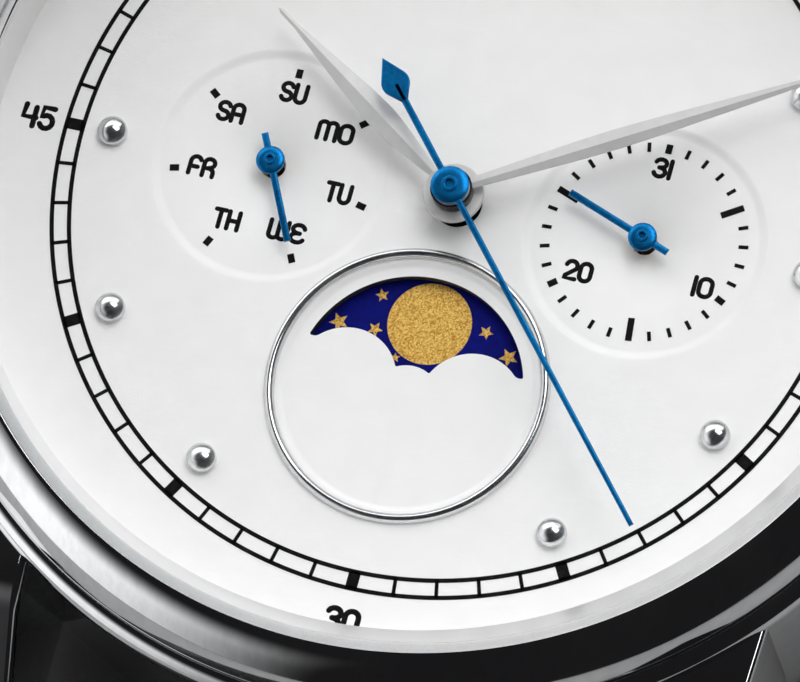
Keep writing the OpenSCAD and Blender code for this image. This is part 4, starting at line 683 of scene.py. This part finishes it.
leaf_hand("leaf_hour_hand", "hour_hand", "hour", 10.2, 1.14, 0.72, 7.5, 304.5, 0,
          (4.2, 0.525, 0.152, 0.102, 0.9, 0.095))
leaf_hand("leaf_minute_hand", "minute_hand", "minute", 14.6, 0.72, 0.45, 8.05, 60, 0.06,
          (6.2, 0.385, 0.044, 0.044, 1.5, 0.085))
COLLAR_IN_R, COLLAR_OUT_R = 0.725, 0.785
COLLAR_LOW, COLLAR_TOP = 7.76, 8.3
collar = bmesh.new()
turned(collar, [(COLLAR_IN_R, COLLAR_LOW), (COLLAR_IN_R, COLLAR_TOP), (COLLAR_OUT_R, COLLAR_TOP, 0.02),
                (COLLAR_OUT_R, COLLAR_LOW, 0.02)], 96)
# The collar is painted near black, a painted shade under the seconds hub
piece("minute_hub_collar", collar, shaded_dark_pipe, "minute", sharp=40)

# Blued hands
# Seconds, day and date hands of steel tempered to a bright blue, rounded at the edges, each on a
# low flat hub with a rounded edge and a hollow rivet.
BAR_T = 0.12
HUB_RISE = 0.07
# Steel heated until it turns blue: strong blue metal, paler where it mirrors a lamp
blued = worked("heat_blued_steel", "#0575b6", "#045e98", (0.24, 0.34), 0.15, 0.0003, Metallic=0.9)


def hub_profile(r):
    dome = [(r * i / 10, BAR_T + HUB_RISE * (1 - (i / 10) ** 6)) for i in range(10, 4, -1)]
    lip = dome[-1][1]
    return [(0, 0), (r, 0), *dome, (r * 0.42, lip, 0.02), (r * 0.4, lip + 0.07, 0.03), (r * 0.24, lip + 0.07, 0.02),
            (r * 0.24, lip - 0.05), (0, lip - 0.05)]


def bar(bm, start, end, width_start, width_end):
    """A flat bar along Y with rounded upper edges."""
    part = bmesh.new()
    bmesh.ops.create_cube(part, size=1)
    for v in part.verts:
        far = v.co.y > 0
        v.co = (math.copysign((width_end if far else width_start) / 2, v.co.x), end if far else start,
                BAR_T if v.co.z > 0 else 0)
    tops = [e for e in part.edges if all(v.co.z > 0.1 for v in e.verts)]
    round_edges(part, tops, 0.07, 5)
    join(bm, part)


def blued_hand(name, node, body, parts, hub_r, centre, z, direction):
    hand = bmesh.new()
    for shape in parts:
        bar(hand, *shape)
    turned(hand, hub_profile(hub_r), 64, closed=False)
    if name == "spade_seconds_hand":
        spade_r, point, neck = 0.54, 1.13, 0.84
        at = -(5.75 - point)
        tangent = math.degrees(math.acos(spade_r / point))
        outline = [(0, -point), *arc(0, 0, spade_r, tangent - 90, 30, 14), (0.1, neck), (-0.1, neck),
                   *arc(0, 0, spade_r, 150, 270 - tangent, 14)]
        part = bmesh.new()
        part.faces.new([part.verts.new((x, y + at, 0)) for x, y in outline])
        thicken(part, BAR_T)
        rim = [e for e in part.edges if all(v.co.z > 0.1 for v in e.verts)]
        round_edges(part, rim, 0.045, 3)
        join(hand, part)
    aim(hand, centre, z, direction)
    return piece(name, hand, blued, body, [node])


blued_hand("spade_seconds_hand", "seconds_hand", "seconds", [(-4.6, 15.1, 0.27, 0.19)], 0.72, (0, 0), 8.5, 138.7)
for label, x, direction in (("day", -SUB_X, 153.5), ("date", SUB_X, 290.3)):
    blued_hand(label + "_pointer", label + "_hand", label, [(-1.12, 3.3, 0.2645, 0.2645)], 0.54, (x, 0), 7.0,
               direction)

# Bezel
# A separate polished steel ring pressed over the neck of the case: a broad round slope from the
# crystal's rim down to a narrow foot above the case ledge.
RIM_R = 18.63
BEZEL_R = 20.37
CRYSTAL_TOP = 10.95
SEAT_Z = 9.4
slope = arc_through((RIM_R + 0.12, CRYSTAL_TOP), (BEZEL_R, LEDGE_Z + 0.37), 2.15, 40)
bezel = bmesh.new()
turned(bezel, [(VIEW_R, LEDGE_Z), (VIEW_R, SEAT_Z), (RIM_R, SEAT_Z), (RIM_R, CRYSTAL_TOP, 0.03), *slope,
               (BEZEL_R, LEDGE_Z + 0.02, 0.02), (NECK_OUT_R + 0.05, LEDGE_Z + 0.02),
               (NECK_OUT_R + 0.05, NECK_TOP + 0.05),
               (NECK_IN_R - 0.05, NECK_TOP + 0.05), (NECK_IN_R - 0.05, LEDGE_Z)], 360)
piece("round_bezel", bezel, polished_steel, "case", ["bezel"], sharp=40)

# Crystal and its gasket
# A flat disc of hardened mineral glass, polished above and below and ground at its wall and narrow
# chamfer, held in a pale nylon ring.
CRYSTAL_R = 18.2
CHAMFER = 0.4
# Clear glass: seen only by weak reflections; it throws no shadow, so the dial stays white
glass = empty_material("hardened_mineral_glass")
clear = add(glass, "BsdfPrincipled", {"Base Color": linear("#fefefe"), "Roughness": 0.0, "IOR": 1.55,
                                      "Transmission Weight": 1.0, "Specular Tint": linear("#8a8a90")})
path = add(glass, "LightPath")
through = add(glass, "BsdfTransparent", {"Color": linear("#fafafa")})
mixed = add(glass, "MixShader", {0: path.outputs["Is Shadow Ray"], 1: clear.outputs[0], 2: through.outputs[0]})
add(glass, "OutputMaterial", {"Surface": mixed.outputs[0]})
crystal = bmesh.new()
turned(crystal, [(0, SEAT_Z), (CRYSTAL_R, SEAT_Z), (CRYSTAL_R, CRYSTAL_TOP - 0.6 * CHAMFER),
                 (CRYSTAL_R - CHAMFER, CRYSTAL_TOP), (0, CRYSTAL_TOP)], 360, closed=False)
flat_glass = piece("flat_crystal", crystal, glass, "case", ["crystal"], sharp=3)
# Ground glass: frosted, so the rim of the crystal shows as a soft pale ring
ground = empty_material("ground_glass_edge")
rubbed = add(ground, "TexNoise", {"Vector": add(ground, "TexCoord").outputs["Object"], "Scale": 1 / (0.12 * MM)})
frost = add(ground, "MapRange", {"Value": rubbed.outputs["Fac"], "To Min": 0.36, "To Max": 0.44})
edge_glass = add(ground, "BsdfPrincipled", {"Base Color": linear("#f6f6f6"), "Roughness": frost.outputs[0],
                                            "IOR": 1.55, "Transmission Weight": 1.0})
add(ground, "OutputMaterial", {"Surface": edge_glass.outputs[0]})
flat_glass.data.materials.append(ground)
for face in flat_glass.data.polygons:
    if abs(face.normal.z) < 0.95:
        face.material_index = 1
# Nylon: milky white, because some light goes into it
nylon = worked("pale_nylon_gasket", "#f4f4f4", "#ececec", (0.35, 0.5), 0.1, 0.001, Subsurface_Weight=0.1)
seal = bmesh.new()
turned(seal, [(CRYSTAL_R, SEAT_Z), (RIM_R, SEAT_Z), (RIM_R, CRYSTAL_TOP - 0.2, 0.08),
              (CRYSTAL_R, CRYSTAL_TOP - 0.2, 0.08)], 256)
piece("crystal_seal", seal, nylon, "case", ["crystal_gasket"])


CORNER_ANGLE = 30


def softened(name, node, material, body, width, segments=3):
    """A CAD solid whose corners are rounded, as polishing leaves them."""
    bm = bmesh.new()
    bm.from_mesh(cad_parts[node].data)
    bmesh.ops.scale(bm, vec=(1 / MM,) * 3, verts=bm.verts)
    bmesh.ops.remove_doubles(bm, verts=bm.verts, dist=1e-3)
    bmesh.ops.dissolve_limit(bm, angle_limit=math.radians(1), verts=bm.verts, edges=bm.edges)
    made = piece(name, bm, material, body, [node], CORNER_ANGLE)
    bevel = made.modifiers.new("rounded", "BEVEL")
    bevel.width = width * MM
    bevel.segments = segments
    bevel.limit_method = "ANGLE"
    bevel.angle_limit = math.radians(CORNER_ANGLE)
    made.modifiers.move(made.modifiers.find("rounded"), 0)
    return made


# Crown
# A push-pull crown of polished steel with round flutes for grip, screwed on the end of the stem.
softened("fluted_crown", "crown", polished_steel, "crown", 0.05)

# Strap
# Two halves of black calf leather over a padded core, lined with brown leather, with turned and
# stitched edges; each loops round a spring bar, and the long one is punched with seven holes.
BAR_Y = 23.3
WRAP_R = 1.9
STRAP_W = 23.1
STRAP_END_W = 18.0
SHORT_L = 75.0
LONG_L = 115.0
SHORT_REST = 1.1
LONG_REST = 0.0
EYE_R = 1.65
EYE_RISE = 1.3
LINING_T = 0.9
LINING_START = WRAP_R + 0.5
ACROSS = 54
CROWN_DROP = 0.85
GROOVE = 0.16
SEAM_INSET = 2.1
# Smooth-finished calf: near black with a low sheen, its fine creases seen where light grazes and also painted a shade
# darker, a painted shade
leather = empty_material("black_calf_leather")
place = add(leather, "TexCoord").outputs["Object"]
cells = add(leather, "TexVoronoi", {"Vector": place, "Scale": 1 / (0.75 * MM)}, feature="DISTANCE_TO_EDGE")
pores = add(leather, "TexNoise", {"Vector": place, "Scale": 1 / (0.22 * MM), "Detail": 5})
creases = add(leather, "MapRange", {"Value": cells.outputs["Distance"], "From Min": 0.0, "From Max": 0.14})
height = add(leather, "Math", {0: creases.outputs[0], 1: pores.outputs["Fac"]}, operation="ADD")
worn = add(leather, "TexNoise", {"Vector": place, "Scale": 1 / (9 * MM), "Detail": 3})
# The creases take the darker colour: a painted shade in the grain
hide = add(leather, "Mix", {"Factor": creases.outputs[0], "A": linear("#060606"), "B": linear("#101011")},
           data_type="RGBA")
gloss = add(leather, "MapRange", {"Value": worn.outputs["Fac"], "From Min": 0.3, "From Max": 0.7, "To Min": 0.38,
                                  "To Max": 0.55})
grain = add(leather, "Bump", {"Height": height.outputs[0], "Distance": 0.05 * MM, "Strength": 0.7})
skin = add(leather, "BsdfPrincipled", {"Base Color": hide.outputs["Result"], "Roughness": gloss.outputs[0],
                                       "Normal": grain.outputs[0]})
add(leather, "OutputMaterial", {"Surface": skin.outputs[0]})
# Lining leather: matt brown with an open grain
lining = worked("brown_lining_leather", "#8a5f3f", "#6d472c", (0.55, 0.7), 0.5, 0.03)
# Waxed thread: dark grey, its twist only just seen
thread = worked("waxed_polyester_thread", "#2a2a2b", "#161617", (0.5, 0.65), 0.12, 0.02, stretch=(1, 0.3, 1))


def strap_t(s):
    return 2.2 + 1.6 * (1 - ease(s / 38)) + 0.7 * ease(s / 7) * (1 - ease((s - 7) / 31))


def strap_under(s, rest):
    return rest + (BAR_Z - WRAP_R - rest) * (1 - ease(s / 16))


def strap_over(s, rest):
    return strap_under(s, rest) + strap_t(s)


def strap_half(s, tip):
    """Half width at the distance s from the bar; the long half ends in a pointed arch."""
    half = (STRAP_W - (STRAP_W - STRAP_END_W) * ease(max(s - 3, 0) / 35)) / 2
    if tip:
        r = STRAP_END_W / 2 * 1.55
        start = tip - r * math.sin(math.acos((r - STRAP_END_W / 2) / r))
        if s > start:
            half = STRAP_END_W / 2 - r + math.sqrt(max(r * r - (s - start) ** 2, 0))
    return max(half, 0.02)


def strap_drop(s, edge, length, crown):
    """How far the padded top falls at a distance from the bar and from the strap's edge."""
    return crown * (1 - ease(s / length * 1.4) * 0.55) * (1 - ease(edge / 4.2)) ** 2


def layer(path, length, tip, crown):
    """A closed side outline of distance, height and share of the crown, drawn out to the strap's width."""
    bm = bmesh.new()
    shares = bm.verts.layers.float.new("crown")
    verts = []
    for s, z, share in path:
        v = bm.verts.new((-1, s, z))
        v[shares] = share
        verts.append(v)
    loop = [bm.edges.new((a, b)) for a, b in zip(verts, verts[1:] + verts[:1])]
    for i in range(ACROSS):
        grown = bmesh.ops.extrude_edge_only(bm, edges=loop)
        loop = [e for e in grown["geom"] if isinstance(e, bmesh.types.BMEdge)]
        for v in new_verts(grown):
            v.co.x = -1 + 2 * (i + 1) / ACROSS
    bmesh.ops.holes_fill(bm, edges=[e for e in bm.edges if e.is_boundary], sides=0)
    for v in bm.verts:
        u, s, z = v.co
        half = strap_half(s, tip)
        edge = (1 - abs(u)) * half
        drop = strap_drop(s, edge, length, crown)
        groove = GROOVE * math.exp(-((edge - SEAM_INSET) / 0.32) ** 2)
        v.co = (u * half, s, z - v[shares] * (drop + groove))
    return bm


def strap_paths(length, rest):
    """Lines that the side outlines of the top leather and of the lining are put together from."""
    count = 150
    stations = [length * (i / count) ** 1.15 for i in range(count + 1)]
    top = [(s, strap_over(s, rest), ease((s + 0.5) / 3)) for s in stations]
    between = [(s, strap_under(s, rest) + LINING_T, 0) for s in reversed(stations) if s >= LINING_START]
    wrap = [(s, BAR_Z + z, 0) for s, z in arc(0, 0, WRAP_R, 96, 264, 18)]
    below = [(s, strap_under(s, rest), 0) for s in (0.3, 0.9, 1.6, LINING_START)]
    upper = [*wrap[::-1], *[t for t in top if t[0] > 0.4]]
    under = [(s, strap_under(s, rest), 0) for s in reversed(stations) if s >= LINING_START]
    return upper, between, below, under


def strap_half_pieces(label, body, length, rest, tip, mirror):
    upper, between, below, under = strap_paths(length, rest)
    if not tip:
        eye = [(length + s, rest + EYE_RISE + z, 0) for s, z in arc(0, 0, EYE_R, 62, -118, 18)]
        upper = [t for t in upper if t[0] < eye[0][0] - 0.1] + eye
        between = [t for t in between if t[0] < length - 1.2]
    top = layer([*upper, *between, *below[::-1]], length, tip, CROWN_DROP)
    base = layer([*between[::-1], *[t for t in under if t[0] <= between[0][0] + 0.01]], length, tip, 0)
    place = Matrix.Diagonal((1, mirror, 1, 1)) @ Matrix.Translation((0, BAR_Y, 0))
    for bm in (top, base):
        bmesh.ops.transform(bm, matrix=place, verts=bm.verts)
    top_piece = piece(label + "_strap_leather", top, leather, body, [label + "_strap_top"], sharp=40)
    base_piece = piece(label + "_strap_underside", base, lining, body,
                       [label + "_strap_lining"], sharp=40)
    return top_piece, base_piece


def cut(target, cutter):
    """Cuts one closed bmesh, in millimetres, out of a piece and keeps the result as its mesh."""
    bmesh.ops.scale(cutter, vec=(MM,) * 3, verts=cutter.verts)
    bmesh.ops.recalc_face_normals(cutter, faces=cutter.faces)
    mesh = bpy.data.meshes.new("cutter")
    cutter.to_mesh(mesh)
    cutter.free()
    tool = placed("cutter", mesh)
    bite = target.modifiers.new("cut", "BOOLEAN")
    bite.object = tool
    bite.solver = "EXACT"
    bpy.context.view_layer.update()
    result = bpy.data.meshes.new_from_object(target.evaluated_get(bpy.context.evaluated_depsgraph_get()))
    target.modifiers.clear()
    old, target.data = target.data, result
    bpy.data.meshes.remove(old)
    bpy.data.objects.remove(tool)
    bpy.data.meshes.remove(mesh)


def rod(bm, centre, r, length, axis):
    turn = Matrix.Rotation(math.pi / 2, 4, "Y") if axis == "X" else Matrix.Identity(4)
    bmesh.ops.create_cone(bm, cap_ends=True, segments=32, radius1=r, radius2=r, depth=length,
                          matrix=Matrix.Translation(centre) @ turn)


HOLES = 7
HOLE_PITCH = 6.3
HOLE_START = 28.0
HOLE_R = 1.0
BAR_BORE_R = 0.95
BUCKLE_BORE_R = 0.8
BORE_L = 40
BUCKLE_Y = BAR_Y + SHORT_L
BUCKLE_Z = 2.4
short_top, short_base = strap_half_pieces("short", "strap_short", SHORT_L, SHORT_REST, None, 1)
long_top, long_base = strap_half_pieces("long", "strap_long", LONG_L, LONG_REST, LONG_L, -1)
bores = bmesh.new()
rod(bores, (0, BAR_Y, BAR_Z), BAR_BORE_R, BORE_L, "X")
rod(bores, (0, BUCKLE_Y, BUCKLE_Z), BUCKLE_BORE_R, BORE_L, "X")
tang_slot = Matrix.Translation((0, BUCKLE_Y, 3)) @ Matrix.Diagonal((3, 6.4, 12, 1))
bmesh.ops.create_cube(bores, size=1, matrix=tang_slot)
cut(short_top, bores)
slot = bmesh.new()
bmesh.ops.create_cube(slot, size=1, matrix=tang_slot)
cut(short_base, slot)
for target in (long_top, long_base):
    punch = bmesh.new()
    if target is long_top:
        rod(punch, (0, -BAR_Y, BAR_Z), BAR_BORE_R, BORE_L, "X")
    for i in range(HOLES):
        rod(punch, (0, -BAR_Y - (LONG_L - HOLE_START - i * HOLE_PITCH), 3), HOLE_R, 14, "Z")
    cut(target, punch)

# Stitching
# A saddle stitch of waxed thread sunk in a shallow groove along both edges of each strap half.
STITCH = 2.6
STITCH_GAP = 0.8
FIRST_STITCH = 6.0
THREAD_R = 0.2


def stitches(label, body, length, rest, tip, mirror, last):
    seam = bmesh.new()
    s = FIRST_STITCH
    while s + STITCH < last:
        for hand in (-1, 1):
            middle = s + STITCH / 2
            half = strap_half(middle, tip)
            x = hand * (half - SEAM_INSET)
            slope = (strap_half(middle + 0.5, tip) - strap_half(middle - 0.5, tip)) * hand
            drop = strap_drop(middle, SEAM_INSET, length, CROWN_DROP) + GROOVE
            z = strap_over(middle, rest) - drop
            rise = strap_over(middle + 0.5, rest) - strap_over(middle - 0.5, rest)
            shape = (Matrix.Translation((x, middle, z + 0.05))
                     @ Matrix.Rotation(-math.atan(slope) + 0.05 * hand, 4, "Z")
                     @ Matrix.Rotation(math.atan(rise), 4, "X")
                     @ Matrix.Diagonal((THREAD_R, STITCH / 2, THREAD_R * 0.8, 1)))
            bmesh.ops.create_icosphere(seam, subdivisions=2, radius=1, matrix=shape)
        s += STITCH + STITCH_GAP
    place = Matrix.Diagonal((1, mirror, 1, 1)) @ Matrix.Translation((0, BAR_Y, 0))
    bmesh.ops.transform(seam, matrix=place, verts=seam.verts)
    return piece(label + "_strap_stitching", seam, thread, body)


stitches("short", "strap_short", SHORT_L, SHORT_REST, None, 1, SHORT_L - 3)
stitches("long", "strap_long", LONG_L, LONG_REST, LONG_L, -1, LONG_L - 12)

# Strap keepers
# Two closed loops of the same leather, skived, folded and glued; the outer one is stitched fast
# and the other slides.
for node, body in (("fixed_keeper", "strap_short"), ("free_keeper", "free_keeper")):
    softened(node.replace("keeper", "leather_loop"), node, leather, body, 0.3, 4)

# Buckle
# A cast and polished steel pin buckle: a bowed frame, a bar through the strap's eye, and a tang
# bent round the bar that rests on the crossbar.
softened("pin_buckle_frame", "buckle_frame", polished_steel, "buckle", 0.35, 4)
softened("pin_buckle_tang", "buckle_tang", polished_steel, "tang", 0.15, 3)

# Studio
# A pale matt tabletop in a dim room: a broad softbox behind the watch, a small high one further right
# and a white wall on the left, which leave the dark reflections that polished steel needs.
table = bpy.data.meshes.new("tabletop")
top = bmesh.new()
bmesh.ops.create_grid(top, x_segments=1, y_segments=1, size=3.0)
bmesh.ops.translate(top, vec=(0, 0, -0.00002), verts=top.verts)
top.to_mesh(table)
top.free()
floor = placed("tabletop", table)
# Matt laminate: an even pale grey that throws soft light back up at the case
table.materials.append(worked("pale_table_laminate", "#cecece", "#c6c6c6", (0.5, 0.6), 3.0, 0.01))

WALL_TURN = 180.0
WALL_LIGHT = 1.2
LAMP_REACH = 1.2
world = bpy.data.worlds.new("studio_room")
bpy.context.scene.world = world
world.use_nodes = True
world.node_tree.nodes.clear()
ray = add(world, "TexCoord").outputs["Generated"]
height = add(world, "SeparateXYZ", {0: ray}).outputs["Z"]
level = add(world, "VectorMath", {0: ray, 1: (1, 1, 0)}, operation="MULTIPLY")
heading = add(world, "VectorMath", {0: level.outputs[0]}, operation="NORMALIZE")
wall_side = (math.cos(math.radians(WALL_TURN)), math.sin(math.radians(WALL_TURN)), 0)
facing = add(world, "VectorMath", {0: heading.outputs[0], 1: wall_side}, operation="DOT_PRODUCT")
across = add(world, "MapRange", {"Value": facing.outputs["Value"], "From Min": 0.2, "From Max": 0.88},
             interpolation_type="SMOOTHSTEP")
upward = add(world, "MapRange", {"Value": height, "From Min": 0.9, "From Max": 0.55}, interpolation_type="SMOOTHSTEP")
wall = add(world, "Math", {0: across.outputs[0], 1: upward.outputs[0]}, operation="MULTIPLY")
room = add(world, "Mix", {"Factor": wall.outputs[0], "A": linear("#1c1c1d"), "B": [WALL_LIGHT] * 3 + [1]},
           data_type="RGBA")
glow = add(world, "Background", {"Color": room.outputs["Result"], "Strength": 1.0})
add(world, "OutputWorld", {"Surface": glow.outputs[0]})


def softbox(name, azimuth, elevation, distance, size, power):
    """A rectangular lamp that faces the watch from a direction given in degrees."""
    a, e = math.radians(azimuth), math.radians(elevation)
    lamp = bpy.data.lights.new(name, "AREA")
    lamp.shape = "RECTANGLE"
    lamp.size, lamp.size_y = size
    lamp.energy = power
    box = placed(name, lamp)
    box.location = distance * Vector((math.cos(a) * math.cos(e), math.sin(a) * math.cos(e), math.sin(e)))
    box.rotation_euler = (-box.location).to_track_quat("-Z", "Y").to_euler()


softbox("back_softbox", 108, 38, LAMP_REACH, (2.2, 0.7), 7.7)
softbox("high_softbox", 62, 60, LAMP_REACH, (0.7, 0.5), 3.8)

camera_data = bpy.data.cameras.new("camera")
camera_data.lens = 424.5
camera_data.sensor_width = 36
camera_data.clip_start = 0.01
camera_data.clip_end = 20
camera = placed("camera", camera_data)
camera.location = (0.07603, -0.1024, 0.3347)
camera.rotation_euler = [math.radians(a) for a in (18.8968, 8.4798, 15.1306)]
bpy.context.scene.camera = camera
bpy.context.scene.view_settings.view_transform = "Standard"
